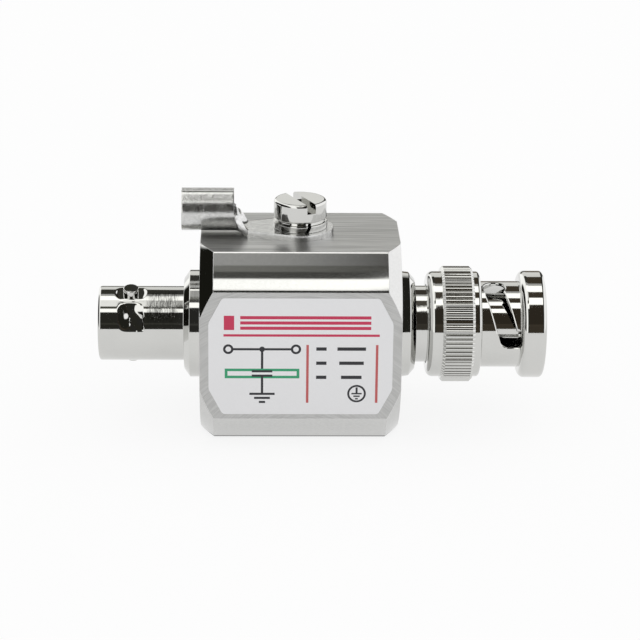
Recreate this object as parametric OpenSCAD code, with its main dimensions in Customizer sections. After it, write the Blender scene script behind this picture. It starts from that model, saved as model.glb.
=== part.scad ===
// Inline coaxial lightning arrestor. A square bar, turned on its corners, carries a
// bayonet jack on one end, a bayonet plug with its coupling nut on the other, and an
// earth lug under a slotted screw on top. A gas discharge tube inside bridges the
// centre conductor and the housing.
// Millimetres. +X runs along the coaxial axis towards the plug, +Z is up, and the
// origin is the middle of the housing's underside.

/* [Housing] */
// Width across the flats of the square bar
housing_side = 25; // [24:0.1:27]
// Length of the housing along the coaxial axis
housing_length = 25.5; // [24:0.1:32]
// Width of each flat between the turned corners
flat_width = 16.9; // [15:0.1:18]
// Turned 45 degree chamfer on each end
end_chamfer = 1.75; // [1:0.05:2]
// Thread diameter of the two connector ports
port_thread = 12; // [11.6:0.1:13]
// Depth of each port
port_depth = 6.5; // [5.5:0.1:7.5]
// Diameter of the chamber between the ports
chamber_diameter = 9.6; // [9:0.1:10.4]

/* [Connector flanges] */
// Diameter of the flange that seats on the housing
flange_diameter = 14; // [13.4:0.1:15]
// Length of that flange
flange_length = 2.2; // [1.8:0.1:3]
// Axial length of the flange's chamfer
flange_chamfer = 0.75; // [0.4:0.05:1.2]
// Length of the threaded spigot behind the flange
spigot_length = 6; // [5:0.1:6.4]

/* [Jack] */
// Outer diameter of the jack's barrel
barrel_diameter = 9.68; // [9.6:0.01:9.7]
// Length of the barrel in front of its flange
barrel_length = 11.05; // [10:0.05:13]
// Bore that takes the mating outer contact
barrel_bore = 8.12; // [8.1:0.01:8.2]
// Depth of that bore
barrel_bore_depth = 8.4; // [8.2:0.1:8.8]
// Rounding of the barrel's mouth
mouth_round = 0.35; // [0.1:0.05:0.5]
// Diameter of each bayonet lug
lug_diameter = 2; // [1.9:0.01:2.06]
// Distance over the two lugs
lug_span = 11; // [10.9:0.01:11.1]
// Distance from the mouth to the lugs
lug_setback = 4.2; // [3.6:0.05:5]
// Clock angle of the first lug, from the top towards the front face
lug_angle = 16; // [0:1:90]
// Width of the milled band that the lugs stand in
lug_band_width = 3.4; // [2.6:0.1:4]
// Depth of the milled band
lug_band_depth = 0.16; // [0.16:0.01:0.3]
// Diameter of the insulator's nose inside the jack
nose_diameter = 4.8; // [4.6:0.01:4.9]
// Distance of the nose behind the mouth
nose_recess = 3.3; // [3:0.1:3.6]

/* [Plug] */
// Diameter of the neck behind the coupling nut
neck_diameter = 10; // [9.6:0.05:10.3]
// Diameter of the shoulder that holds the coupling nut
shoulder_diameter = 11.8; // [11.4:0.1:12]
// Length of that shoulder
shoulder_length = 1.5; // [1:0.1:2]
// Outer diameter of the slotted outer contact
outer_contact_diameter = 8; // [7.9:0.01:8.1]
// Wall of the outer contact
contact_wall = 0.5; // [0.4:0.05:0.6]
// Reach of the outer contact in front of the shoulder
outer_contact_reach = 9.1; // [8.6:0.05:9.3]
// Width of the outer contact's slots
contact_slot = 0.4; // [0.2:0.05:0.6]
// Diameter of the centre pin
pin_diameter = 1.35; // [1.32:0.01:1.37]
// Thickness of the rubber gasket
gasket_thickness = 0.8; // [0.6:0.1:1.1]

/* [Coupling nut] */
// Gap between the flange and the nut
nut_gap = 1.55; // [1:0.05:2.5]
// Length of the nut
nut_length = 15.2; // [14.6:0.1:17]
// Thickness of the rolled lip at the rear
nut_lip = 0.85; // [0.6:0.05:1.2]
// Diameter of the nut's collar
collar_diameter = 13.8; // [13.6:0.1:14.4]
// Length of the collar
collar_length = 6.9; // [6.7:0.1:7.1]
// Diameter over the knurl
knurl_diameter = 15.1; // [14.8:0.1:16]
// Distance from the nut's rear to the knurl
knurl_start = 1.85; // [1.2:0.05:2.4]
// Length of the knurl
knurl_length = 4.1; // [3:0.1:4.4]
// Number of knurl teeth
knurl_teeth = 80; // [60:1:100]
// Depth of the knurl
knurl_depth = 0.22; // [0.1:0.01:0.3]
// Diameter of the slotted sleeve
sleeve_diameter = 11.26; // [11.2:0.02:11.6]
// Bore of the sleeve
nut_bore = 9.8; // [9.76:0.01:9.9]
// Diameter of the front ring
ring_diameter = 14; // [13.4:0.1:15]
// Length of the front ring
ring_length = 3.2; // [2.6:0.1:3.6]
// Width of the bayonet slots
slot_width = 2.4; // [2.2:0.05:2.5]
// Diameter of the locking hole at the end of each slot
lock_diameter = 2.75; // [2.6:0.05:2.9]
// Distance from the nut's front to the locking holes
lock_setback = 6.5; // [6.3:0.05:6.7]
// Clock angle of the first locking hole, from the top towards the front face
lock_angle = 14; // [0:1:90]
// Turn from the locking hole to the slot's entry
slot_turn = 79; // [70:1:85]
// Axial rise of the slot over that turn
slot_rise = 2.1; // [1.9:0.1:2.3]
// How far the locking holes lie in front of the slots' own line, so that a lug drops in
lock_drop = 0.3; // [0.1:0.05:0.35]
// Forward travel of the nut against its wave spring
nut_travel = 0.5; // [0.3:0.05:0.6]

/* [Earth terminal] */
// Diameter of the earth screw
screw_diameter = 4; // [3.9:0.05:4.1]
// Length of the earth screw under its head
screw_length = 8; // [7:0.1:8.4]
// Diameter of the screw's head
head_diameter = 6.8; // [6.6:0.05:7]
// Height of the screw's head
head_height = 2.5; // [2.2:0.1:2.8]
// Chamfer round the top of the head
head_chamfer = 0.45; // [0.2:0.05:0.6]
// Width of the driver slot
driver_width = 1.2; // [1:0.05:1.4]
// Depth of the driver slot
driver_depth = 1.2; // [0.9:0.05:1.4]
// Direction of the driver slot, from +X
driver_angle = -65; // [-90:1:90]
// Outer diameter of the spring washer
washer_diameter = 7; // [6.8:0.1:7.4]
// Thickness of the spring washer
washer_thickness = 1.2; // [0.9:0.1:1.4]
// Width of the split in the spring washer
washer_split = 0.5; // [0.3:0.05:0.8]
// Diameter of the lug's ring
ring_tongue_diameter = 8.6; // [8:0.1:9.4]
// Thickness of the lug's sheet
lug_sheet = 0.8; // [0.7:0.05:1]
// Outer diameter of the lug's crimp barrel
crimp_diameter = 5.4; // [5:0.1:6]
// Bore of the lug's crimp barrel
crimp_bore = 3.8; // [3.4:0.05:3.9]
// Length of the crimp barrel
crimp_length = 6.7; // [5:0.1:8]
// Distance from the screw to the barrel's open end
crimp_reach = 15.2; // [14.5:0.1:16]
// Height of the barrel's underside over the housing
crimp_rise = 0.3; // [0.1:0.05:0.5]

/* [Gas tube] */
// Diameter of the gas discharge tube
tube_diameter = 8; // [7.4:0.1:8.2]
// Height of the gas discharge tube
tube_height = 6; // [5.6:0.1:6.4]
// Thickness of the tube's electrode caps
electrode_thickness = 0.7; // [0.5:0.05:1]
// Gap between the electrodes inside the tube
electrode_gap = 0.9; // [0.6:0.1:1.2]
// Diameter of the contact pad on the centre conductor
pad_diameter = 5.2; // [4.8:0.1:5.6]
// Diameter of the centre conductor
line_diameter = 2.2; // [2.1:0.05:2.4]
// Thread diameter of the cap under the tube
cap_thread = 10.5; // [10:0.1:11.5]
// Height of the disc spring between the cap and the tube
disc_spring_height = 0.95; // [0.8:0.05:1.1]

/* [Label] */
// Margin of the label inside the flat face, along the axis
label_margin_x = 1.15; // [0.9:0.05:1.5]
// Margin of the label inside the flat face, up and down
label_margin_z = 0.7; // [0.5:0.05:1]
// Thickness of the label foil
label_thickness = 0.1; // [0.05:0.01:0.15]

/* [Hidden] */
$fn = 96;

// Clearances
thread_clearance = 0.05;
seat_clearance = 0.03;
running_clearance = 0.15;
overshoot = 1;

// Finishes
nickel = [0.78, 0.77, 0.74];
brushed = [0.70, 0.70, 0.68];
tin = [0.72, 0.72, 0.71];
gold = [0.83, 0.66, 0.30];
ptfe = [0.93, 0.93, 0.90];
rubber_grey = [0.30, 0.30, 0.31];
ceramic = [0.92, 0.91, 0.88];
foil = [0.86, 0.86, 0.87];

// Places along the coaxial axis, from the housing's middle
axis_z = housing_side / 2;
port_face = housing_length / 2;
jack_face_x = -port_face - flange_length;
mouth_x = jack_face_x - barrel_length;
lug_x = mouth_x + lug_setback;
spigot_end = port_face - spigot_length;
bore_end_x = mouth_x + barrel_bore_depth;
nose_x = mouth_x + nose_recess;
plug_face_x = port_face + flange_length;
nut_x = plug_face_x + nut_gap;
washer_length = 0.5;
spring_length = 0.9;
shoulder_x = nut_x + nut_lip + washer_length + spring_length;
shoulder_front_x = shoulder_x + shoulder_length;
contact_tip_x = shoulder_front_x + outer_contact_reach;

// The line inside
insulator_diameter = 6.4;
plug_insulator_diameter = outer_contact_diameter - 2 * contact_wall - 2 * seat_clearance;
insulator_recess = 1.3;
plug_insulator_front = contact_tip_x - insulator_recess;
nose_socket_depth = 4;
socket_bore = 1.38;
socket_depth = 4.5;
socket_recess = 0.35;
joint_diameter = 1;
joint_length = 2;
socket_back_x = jack_face_x;
pin_back_x = shoulder_x;
pin_recess = 0.3;
pin_front_x = contact_tip_x - pin_recess;
pad_length = 7;
pad_drop = 2;

// The gas tube stands on its end under the contact pad
tube_top = axis_z - pad_drop;
tube_bottom = tube_top - tube_height;
cap_recess = 0.15;
cap_top = tube_bottom - disc_spring_height;
tube_clearance = 0.25;

// The earth terminal on top
top_z = housing_side;
lug_top = top_z + lug_sheet;
washer_top = lug_top + washer_thickness;
tap_runout = 0.9;
tap_depth = screw_length - washer_thickness - lug_sheet + tap_runout;
crimp_axis_z = top_z + crimp_rise + crimp_diameter / 2;
crimp_end_x = crimp_reach - crimp_length;
throat_share = 0.42;
throat_sweep = crimp_diameter * throat_share;

// Puts a shape drawn along +Z onto the coaxial axis, so that +Z there is +X here
module along_axis() {
    translate([0, 0, axis_z]) rotate([0, 90, 0]) children();
}

// Turns a shape on the coaxial axis from +X there to a clock angle, from the top towards the front
module at_clock(angle) {
    rotate([0, 0, 180 + angle]) children();
}

// A turned piece: the outline gives radius and axial place
module turned(outline) {
    rotate_extrude() polygon(outline);
}

module ring(outer, inner, from, to) {
    turned([[inner / 2, from], [outer / 2, from], [outer / 2, to], [inner / 2, to]]);
}

function arc(centre, radius, from, to, steps = 5) =
    [for (i = [0:steps]) let (a = from + (to - from) * i / steps) centre + radius * [cos(a), sin(a)]];

// Housing

turned_radius = norm([housing_side, flat_width]) / 2;

module housing_bar() {
    intersection() {
        translate([-port_face, -housing_side / 2, 0]) cube([housing_length, housing_side, housing_side]);
        along_axis() turned([
            [0, -port_face], [turned_radius - end_chamfer, -port_face],
            [turned_radius, -port_face + end_chamfer], [turned_radius, port_face - end_chamfer],
            [turned_radius - end_chamfer, port_face], [0, port_face],
        ]);
    }
}

module line_bores() {
    along_axis() {
        cylinder(d = chamber_diameter, h = housing_length, center = true);
        for (side = [-1, 1])
            translate([0, 0, side * (port_face - port_depth / 2 + overshoot / 2)])
                cylinder(d = port_thread, h = port_depth + overshoot, center = true);
    }
}

module tube_bore() {
    cylinder(d = tube_diameter + 2 * tube_clearance, h = axis_z);
    translate([0, 0, -overshoot]) cylinder(d = cap_thread, h = cap_top + overshoot);
}

module housing() {
    color(brushed) difference() {
        housing_bar();
        line_bores();
        tube_bore();
        translate([0, 0, top_z - tap_depth])
            cylinder(d = screw_diameter + 2 * thread_clearance, h = tap_depth + overshoot);
    }
}

// Label: its corners are cut in line with the flat face's own

face_end_half = sqrt(pow(turned_radius - end_chamfer, 2) - pow(housing_side / 2, 2));

module label() {
    half_x = port_face - label_margin_x;
    half_z = flat_width / 2 - label_margin_z;
    cut_x = end_chamfer;
    cut_z = flat_width / 2 - face_end_half - label_margin_z / 2;
    corners = [
        [half_x - cut_x, -half_z], [half_x, -half_z + cut_z],
        [half_x, half_z - cut_z], [half_x - cut_x, half_z],
        [-half_x + cut_x, half_z], [-half_x, half_z - cut_z],
        [-half_x, -half_z + cut_z], [-half_x + cut_x, -half_z],
    ];
    color(foil) translate([0, -housing_side / 2, axis_z]) rotate([90, 0, 0])
        linear_extrude(label_thickness) polygon(corners);
}

// Jack

spigot_diameter = port_thread - 2 * thread_clearance;
flange_chamfer_slope = 1.4;
flange_chamfer_depth = flange_chamfer * flange_chamfer_slope;
mouth_countersink = 0.3;

module jack_turning() {
    barrel_r = barrel_diameter / 2;
    band_half = lug_band_width / 2;
    turned(concat(
        [[barrel_bore / 2 + mouth_countersink, mouth_x]],
        arc([barrel_r - mouth_round, mouth_x + mouth_round], mouth_round, -90, 0),
        [
            [barrel_r, lug_x - band_half], [barrel_r - lug_band_depth, lug_x - band_half + lug_band_depth],
            [barrel_r - lug_band_depth, lug_x + band_half - lug_band_depth], [barrel_r, lug_x + band_half],
            [barrel_r, jack_face_x], [flange_diameter / 2 - flange_chamfer_depth, jack_face_x],
            [flange_diameter / 2, jack_face_x + flange_chamfer], [flange_diameter / 2, -port_face],
            [spigot_diameter / 2, -port_face], [spigot_diameter / 2, -spigot_end],
            [insulator_diameter / 2, -spigot_end], [insulator_diameter / 2, bore_end_x],
            [barrel_bore / 2, bore_end_x], [barrel_bore / 2, mouth_x + mouth_countersink],
        ]
    ));
}

module jack_shell() {
    root_wall = 0.2;
    lug_root = barrel_bore / 2 + root_wall;
    color(nickel) along_axis() {
        jack_turning();
        for (turn = [0, 180])
            at_clock(lug_angle + turn) translate([lug_root, 0, lug_x]) rotate([0, 90, 0])
                cylinder(d = lug_diameter, h = lug_span / 2 - lug_root);
    }
}

module jack_insulator() {
    body_r = insulator_diameter / 2 - seat_clearance;
    hole_r = line_diameter / 2 + seat_clearance;
    color(ptfe) along_axis() turned([
        [hole_r, nose_x], [nose_diameter / 2, nose_x], [nose_diameter / 2, bore_end_x], [body_r, bore_end_x],
        [body_r, -spigot_end], [hole_r, -spigot_end],
    ]);
}

// Centre conductor and its two contacts

// A female contact with a slotted front and a blind hole at the back for the conductor's end
module socket_contact() {
    front = nose_x + socket_recess;
    slot = 0.2;
    slot_share = 0.7;
    color(gold) along_axis() difference() {
        translate([0, 0, front]) cylinder(d = line_diameter, h = socket_back_x - front);
        translate([0, 0, front - overshoot]) cylinder(d = socket_bore, h = socket_depth + overshoot);
        translate([0, 0, socket_back_x - joint_length - seat_clearance])
            cylinder(d = joint_diameter + 2 * seat_clearance, h = joint_length + overshoot);
        for (turn = [0, 90])
            rotate([0, 0, turn]) translate([-line_diameter, -slot / 2, front - overshoot])
                cube([2 * line_diameter, slot, socket_depth * slot_share + overshoot]);
    }
}

module centre_conductor() {
    color(gold) along_axis() {
        translate([0, 0, socket_back_x]) cylinder(d = line_diameter, h = pin_back_x - socket_back_x);
        translate([0, 0, socket_back_x - joint_length])
            cylinder(d = joint_diameter, h = joint_length + overshoot);
        translate([0, 0, pin_back_x - overshoot]) cylinder(d = joint_diameter, h = joint_length + overshoot);
        intersection() {
            cylinder(d = pad_diameter, h = pad_length, center = true);
            translate([-pad_diameter, -pad_diameter, -pad_length])
                cube([pad_diameter + pad_drop, 2 * pad_diameter, 2 * pad_length]);
        }
    }
}

module pin_contact() {
    pin_r = pin_diameter / 2;
    tip = 0.45;
    collar_end = plug_insulator_front - nose_socket_depth;
    hole_r = joint_diameter / 2 + seat_clearance;
    hole_end = pin_back_x + joint_length + seat_clearance;
    color(gold) along_axis() turned(concat(
        [
            [hole_r, pin_back_x], [line_diameter / 2, pin_back_x],
            [line_diameter / 2, collar_end], [pin_r, collar_end],
        ],
        arc([pin_r - tip, pin_front_x - tip], tip, 0, 90),
        [[0, pin_front_x], [0, hole_end], [hole_r, hole_end]]
    ));
}

// Plug

contact_seat_depth = 3;

module plug_body() {
    seat_r = outer_contact_diameter / 2 + seat_clearance;
    bore_r = plug_insulator_diameter / 2 + seat_clearance;
    seat_x = shoulder_front_x - contact_seat_depth;
    color(nickel) along_axis() turned([
        [bore_r, spigot_end], [spigot_diameter / 2, spigot_end], [spigot_diameter / 2, port_face],
        [flange_diameter / 2, port_face], [flange_diameter / 2, plug_face_x - flange_chamfer],
        [flange_diameter / 2 - flange_chamfer_depth, plug_face_x], [neck_diameter / 2, plug_face_x],
        [neck_diameter / 2, shoulder_x], [shoulder_diameter / 2, shoulder_x],
        [shoulder_diameter / 2, shoulder_front_x], [seat_r, shoulder_front_x],
        [seat_r, seat_x], [bore_r, seat_x],
    ]);
}

module plug_outer_contact() {
    outer_r = outer_contact_diameter / 2;
    inner_r = outer_r - contact_wall;
    edge = contact_wall / 2;
    seat_x = shoulder_front_x - contact_seat_depth;
    slot_x = shoulder_front_x + gasket_thickness;
    color(nickel) along_axis() difference() {
        turned(concat(
            [[inner_r, seat_x], [outer_r, seat_x]],
            arc([outer_r - edge, contact_tip_x - edge], edge, 0, 180)
        ));
        for (turn = [0, 90])
            at_clock(lock_angle + slot_turn + turn)
                translate([-outer_contact_diameter, -contact_slot / 2, slot_x])
                    cube([2 * outer_contact_diameter, contact_slot, outer_contact_reach + overshoot]);
    }
}

module plug_insulator() {
    body_r = plug_insulator_diameter / 2;
    hole_r = line_diameter / 2 + seat_clearance;
    nose_clearance = 0.1;
    socket_r = nose_diameter / 2 + nose_clearance;
    socket_x = plug_insulator_front - nose_socket_depth;
    color(ptfe) along_axis() turned([
        [hole_r, spigot_end], [body_r, spigot_end], [body_r, plug_insulator_front],
        [socket_r, plug_insulator_front], [socket_r, socket_x], [hole_r, socket_x],
    ]);
}

module plug_gasket() {
    outer = nut_bore - 2 * running_clearance;
    inner = outer_contact_diameter + 2 * seat_clearance;
    color(rubber_grey) along_axis() ring(outer, inner, shoulder_front_x, shoulder_front_x + gasket_thickness);
}

// Coupling nut, and the washer and wave spring inside it

lip_bore = neck_diameter + 2 * running_clearance;
cavity_diameter = shoulder_diameter + 2 * running_clearance;
nut_step = shoulder_front_x + seat_clearance - nut_x;

module thrust_washer() {
    from = nut_x + nut_lip + seat_clearance;
    to = nut_x + nut_lip + washer_length;
    color(nickel) along_axis() ring(cavity_diameter - 2 * seat_clearance, lip_bore, from, to);
}

// A flat ring that rises and falls three times round the axis
module wave_spring() {
    waves = 3;
    steps = 36;
    sheet = 0.25;
    inner_r = lip_bore / 2;
    outer_r = cavity_diameter / 2 - running_clearance;
    middle = shoulder_x - spring_length / 2;
    swing = (spring_length - sheet) / 2 - seat_clearance;
    points = [
        for (i = [0:steps - 1])
            let (a = 360 * i / steps, x = middle + swing * cos(waves * a))
            for (corner = [[inner_r, -sheet], [outer_r, -sheet], [outer_r, sheet], [inner_r, sheet]])
                [corner[0] * cos(a), corner[0] * sin(a), x + corner[1] / 2]
    ];
    faces = [
        for (i = [0:steps - 1], k = [0:3])
            let (j = (i + 1) % steps, next = (k + 1) % 4)
            let (a = 4 * i + k, b = 4 * i + next, c = 4 * j + next, d = 4 * j + k)
            each [[a, b, c], [a, c, d]]
    ];
    color(nickel) along_axis() polyhedron(points, faces);
}

module nut_turning() {
    collar_r = collar_diameter / 2;
    sleeve_r = sleeve_diameter / 2;
    ring_r = ring_diameter / 2;
    bore_r = nut_bore / 2;
    ring_x = nut_length - ring_length;
    rear_round = nut_lip;
    collar_round = 0.4;
    ring_rear_round = 0.85;
    ring_front_round = 0.5;
    countersink = 0.35;
    turned(concat(
        [[lip_bore / 2, 0]],
        arc([collar_r - rear_round, rear_round], rear_round, -90, 0),
        arc([collar_r - collar_round, collar_length - collar_round], collar_round, 0, 90),
        [[sleeve_r, collar_length], [sleeve_r, ring_x]],
        arc([ring_r - ring_rear_round, ring_x + ring_rear_round], ring_rear_round, -90, 0),
        arc([ring_r - ring_front_round, nut_length - ring_front_round], ring_front_round, 0, 90),
        [
            [bore_r + countersink, nut_length], [bore_r, nut_length - countersink], [bore_r, nut_step],
            [cavity_diameter / 2, nut_step], [cavity_diameter / 2, nut_lip], [lip_bore / 2, nut_lip],
        ]
    ));
}

module knurl() {
    outer_r = knurl_diameter / 2;
    root_r = outer_r - knurl_depth;
    step = outer_r - collar_diameter / 2;
    core_depth = 0.2;
    core_r = collar_diameter / 2 - core_depth;
    end_r = outer_r - step / 2;
    translate([0, 0, knurl_start]) difference() {
        intersection() {
            linear_extrude(knurl_length) polygon([
                for (i = [0:2 * knurl_teeth - 1])
                    let (r = i % 2 == 0 ? outer_r : root_r, a = 180 * i / knurl_teeth) r * [cos(a), sin(a)]
            ]);
            turned([
                [0, 0], [end_r, 0], [end_r + knurl_length / 2, knurl_length / 2],
                [end_r, knurl_length], [0, knurl_length],
            ]);
        }
        translate([0, 0, -overshoot]) cylinder(r = core_r, h = knurl_length + 2 * overshoot);
    }
}

// The helical run of a bayonet slot, as a strip between two radii that follows the cylinder
module helix_cut(inner_r, outer_r, from_x, to_x, turn, width) {
    steps = 12;
    half = width / 2;
    points = [
        for (i = [0:steps])
            let (a = turn * i / steps, x = from_x + (to_x - from_x) * i / steps)
            for (corner = [[inner_r, -half], [outer_r, -half], [outer_r, half], [inner_r, half]])
                [corner[0] * cos(a), corner[0] * sin(a), x + corner[1]]
    ];
    faces = concat(
        [[3, 2, 1, 0], [for (k = [0:3]) 4 * steps + k]],
        [
            for (i = [0:steps - 1], k = [0:3])
                let (a = 4 * i + k, b = 4 * i + (k + 1) % 4)
                each [[a, b, b + 4], [a, b + 4, a + 4]]
        ]
    );
    polyhedron(points, faces);
}

// Face of the slot's straight way in, seen from outside: a slot end with one rounded corner
module entry_outline(length) {
    half = slot_width / 2;
    polygon(concat([[half, length], [-half, length], [-half, 0]], arc([0, 0], half, -90, 0)));
}

// One bayonet slot: locking hole, helical run and the straight way in under the ring
module bayonet_slot() {
    cut_margin = 0.4;
    inner_r = nut_bore / 2 - cut_margin;
    outer_r = sleeve_diameter / 2 + cut_margin;
    lock_x = nut_length - lock_setback;
    run_x = lock_x - lock_drop;
    corner_x = run_x + slot_rise;
    ring_x = nut_length - ring_length;
    helix_angle = atan(slot_rise / (sleeve_diameter / 2 * slot_turn * PI / 180));
    run_past = 2;
    run_rise = slot_rise * (slot_turn + run_past) / slot_turn;
    keyway_r = lug_span / 2 + running_clearance;
    translate([inner_r, 0, lock_x]) rotate([0, 90, 0]) cylinder(d = lock_diameter, h = outer_r - inner_r);
    run_width = slot_width / cos(helix_angle);
    helix_cut(inner_r, outer_r, run_x, run_x + run_rise, slot_turn + run_past, run_width);
    rotate([0, 0, slot_turn]) translate([inner_r, 0, corner_x]) rotate([90, 0, 90]) {
        linear_extrude(outer_r - inner_r) entry_outline(ring_x - corner_x);
        linear_extrude(keyway_r - inner_r) entry_outline(nut_length - corner_x + overshoot);
    }
}

module coupling_nut() {
    color(nickel) along_axis() translate([0, 0, nut_x]) difference() {
        union() {
            nut_turning();
            knurl();
        }
        for (turn = [0, 180])
            at_clock(lock_angle + turn) bayonet_slot();
    }
}

// Gas discharge tube, its spring and its cap

module electrode() {
    boss_h = (tube_height - electrode_gap) / 2;
    boss_share = 0.5;
    cylinder(d = tube_diameter, h = electrode_thickness);
    cylinder(d = tube_diameter * boss_share, h = boss_h);
}

module gas_tube_ceramic() {
    wall = 1.1;
    color(ceramic) translate([0, 0, tube_bottom])
        ring(tube_diameter, tube_diameter - 2 * wall, electrode_thickness, tube_height - electrode_thickness);
}

module gas_tube_lower_electrode() {
    color(nickel) translate([0, 0, tube_bottom]) electrode();
}

module gas_tube_upper_electrode() {
    color(nickel) translate([0, 0, tube_top]) mirror([0, 0, 1]) electrode();
}

// A coned washer that presses the tube against the contact pad
module disc_spring() {
    sheet = 0.35;
    inner_share = 0.26;
    outer_share = 0.48;
    inner_r = tube_diameter * inner_share;
    outer_r = tube_diameter * outer_share;
    low = cap_top;
    high = tube_bottom;
    color(nickel) turned([[outer_r, low], [outer_r, low + sheet], [inner_r, high], [inner_r, high - sheet]]);
}

module tube_cap() {
    slot = 1.4;
    slot_depth = 1;
    edge = 0.4;
    outer_r = cap_thread / 2 - thread_clearance;
    color(nickel) difference() {
        turned([
            [0, cap_recess], [outer_r - edge, cap_recess], [outer_r, cap_recess + edge], [outer_r, cap_top],
            [0, cap_top],
        ]);
        translate([-cap_thread, -slot / 2, cap_recess - overshoot])
            cube([2 * cap_thread, slot, slot_depth + overshoot]);
    }
}

// Earth terminal

// Ring tongue with straight sides that run from the barrel's width to the ring
module tongue_outline() {
    ring_r = ring_tongue_diameter / 2;
    corner = [-crimp_end_x, throat_sweep];
    touch = atan2(corner[1], corner[0]) - acos(ring_r / norm(corner));
    circle(d = ring_tongue_diameter);
    polygon([
        corner, ring_r * [cos(touch), sin(touch)],
        ring_r * [cos(touch), -sin(touch)], [corner[0], -corner[1]],
    ]);
}

// Side view of what is cut away over the tongue: a hollow curve from the barrel's end to the flat
module throat_outline() {
    length = crimp_reach;
    difference() {
        square([length, 2 * crimp_diameter]);
        difference() {
            square(throat_sweep);
            translate([throat_sweep, throat_sweep]) circle(r = throat_sweep);
        }
    }
}

module crimp_barrel() {
    seam = 0.35;
    difference() {
        translate([-crimp_reach, 0, crimp_axis_z]) rotate([0, 90, 0])
            cylinder(d = crimp_diameter, h = crimp_length + throat_sweep);
        translate([-crimp_end_x, 0, lug_top]) rotate([90, 0, 0])
            linear_extrude(2 * crimp_diameter, center = true) throat_outline();
        translate([-crimp_reach, -seam / 2, crimp_axis_z + crimp_diameter / 2 - seam / 2])
            translate([-overshoot, 0, 0]) cube([crimp_length + 2 * overshoot, seam, seam]);
    }
}

module earth_lug() {
    throat_relief = 0.4;
    color(tin) difference() {
        union() {
            translate([0, 0, top_z]) linear_extrude(lug_sheet) tongue_outline();
            crimp_barrel();
        }
        translate([-crimp_reach - overshoot, 0, crimp_axis_z]) rotate([0, 90, 0])
            cylinder(d = crimp_bore, h = crimp_length + overshoot);
        translate([-crimp_end_x, 0, crimp_axis_z]) rotate([0, 90, 0])
            cylinder(d = crimp_bore + throat_relief, h = crimp_diameter);
        translate([0, 0, top_z - overshoot])
            cylinder(d = screw_diameter + 2 * running_clearance, h = lug_sheet + 2 * overshoot);
    }
}

module spring_washer() {
    split_angle = -80;
    lean = 25;
    color(nickel) difference() {
        ring(washer_diameter, screw_diameter + 2 * running_clearance, lug_top, washer_top);
        rotate([0, 0, split_angle]) translate([washer_diameter / 2, 0, lug_top + washer_thickness / 2])
            rotate([lean, 0, 0]) cube([washer_diameter, washer_split, 3 * washer_thickness], center = true);
    }
}

module earth_screw() {
    head_r = head_diameter / 2;
    foot = 0.15;
    point = 0.5;
    screw_r = screw_diameter / 2;
    screw_end = washer_top - screw_length;
    head_top = washer_top + head_height;
    color(nickel) difference() {
        turned([
            [0, screw_end], [screw_r - point, screw_end], [screw_r, screw_end + point], [screw_r, washer_top],
            [head_r - foot, washer_top], [head_r, washer_top + foot], [head_r, head_top - head_chamfer],
            [head_r - head_chamfer, head_top], [0, head_top],
        ]);
        rotate([0, 0, driver_angle]) translate([-head_diameter, -driver_width / 2, head_top - driver_depth])
            cube([2 * head_diameter, driver_width, driver_depth + overshoot]);
    }
}

housing();
label();
jack_shell();
jack_insulator();
socket_contact();
centre_conductor();
pin_contact();
plug_body();
plug_outer_contact();
plug_insulator();
plug_gasket();
wave_spring();
thrust_washer();
coupling_nut();
gas_tube_ceramic();
gas_tube_upper_electrode();
gas_tube_lower_electrode();
disc_spring();
tube_cap();
earth_lug();
spring_washer();
earth_screw();
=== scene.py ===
import math

import bpy
from mathutils import Matrix, Vector, noise


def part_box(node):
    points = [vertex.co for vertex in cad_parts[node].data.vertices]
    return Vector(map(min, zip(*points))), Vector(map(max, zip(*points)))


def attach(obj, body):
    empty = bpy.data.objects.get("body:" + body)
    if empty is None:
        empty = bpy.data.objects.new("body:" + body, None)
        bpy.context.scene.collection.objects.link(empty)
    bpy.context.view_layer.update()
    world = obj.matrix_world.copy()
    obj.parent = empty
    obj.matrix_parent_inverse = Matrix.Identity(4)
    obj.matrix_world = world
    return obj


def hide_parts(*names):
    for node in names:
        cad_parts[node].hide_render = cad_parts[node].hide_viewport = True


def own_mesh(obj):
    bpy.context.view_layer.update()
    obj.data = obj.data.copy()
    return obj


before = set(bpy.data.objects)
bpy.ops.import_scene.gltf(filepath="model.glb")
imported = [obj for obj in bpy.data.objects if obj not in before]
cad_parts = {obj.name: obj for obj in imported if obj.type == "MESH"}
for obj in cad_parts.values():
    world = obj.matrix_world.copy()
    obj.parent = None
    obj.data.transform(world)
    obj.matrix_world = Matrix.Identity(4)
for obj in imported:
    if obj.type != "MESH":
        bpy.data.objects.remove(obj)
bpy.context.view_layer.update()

bl_info = {
    "name": "Coaxial lightning arrestor",
    "version": (1, 0, 0),
    "blender": (4, 5, 0),
    "location": "3D View > Sidebar > Arrestor",
    "description": "Turned, milled and formed metal pieces round the packed arrestor",
    "category": "Object",
}

MM = 0.001
TURN = 2 * math.pi
BLACK = (0, 0, 0, 1)
WHITE = (1, 1, 1, 1)

# Fineness and shading of the meshes
TURNED_STEPS = 192
KNURL_POINTS = 6
EDGE_STEPS = 2
SMOOTH_ANGLE = math.radians(32)
CLOSE_SMOOTH_ANGLE = math.radians(18)
SHARP_CORNER = math.radians(25)
HOLD_GAP = 0.06 * MM

# Distances at which doubles merge: in a new mesh, after cuts and before edges are rounded
MERGE_GAP = 0.0005 * MM
CUT_MERGE = 0.003 * MM
CUT_SPECK = 0.001 * MM
TRIM_MERGE = 0.02 * MM

# How far a cutter reaches past what it cuts, and how far turning breaks an edge
PAST = 1 * MM
TURNED_EDGE = 0.05 * MM

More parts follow.
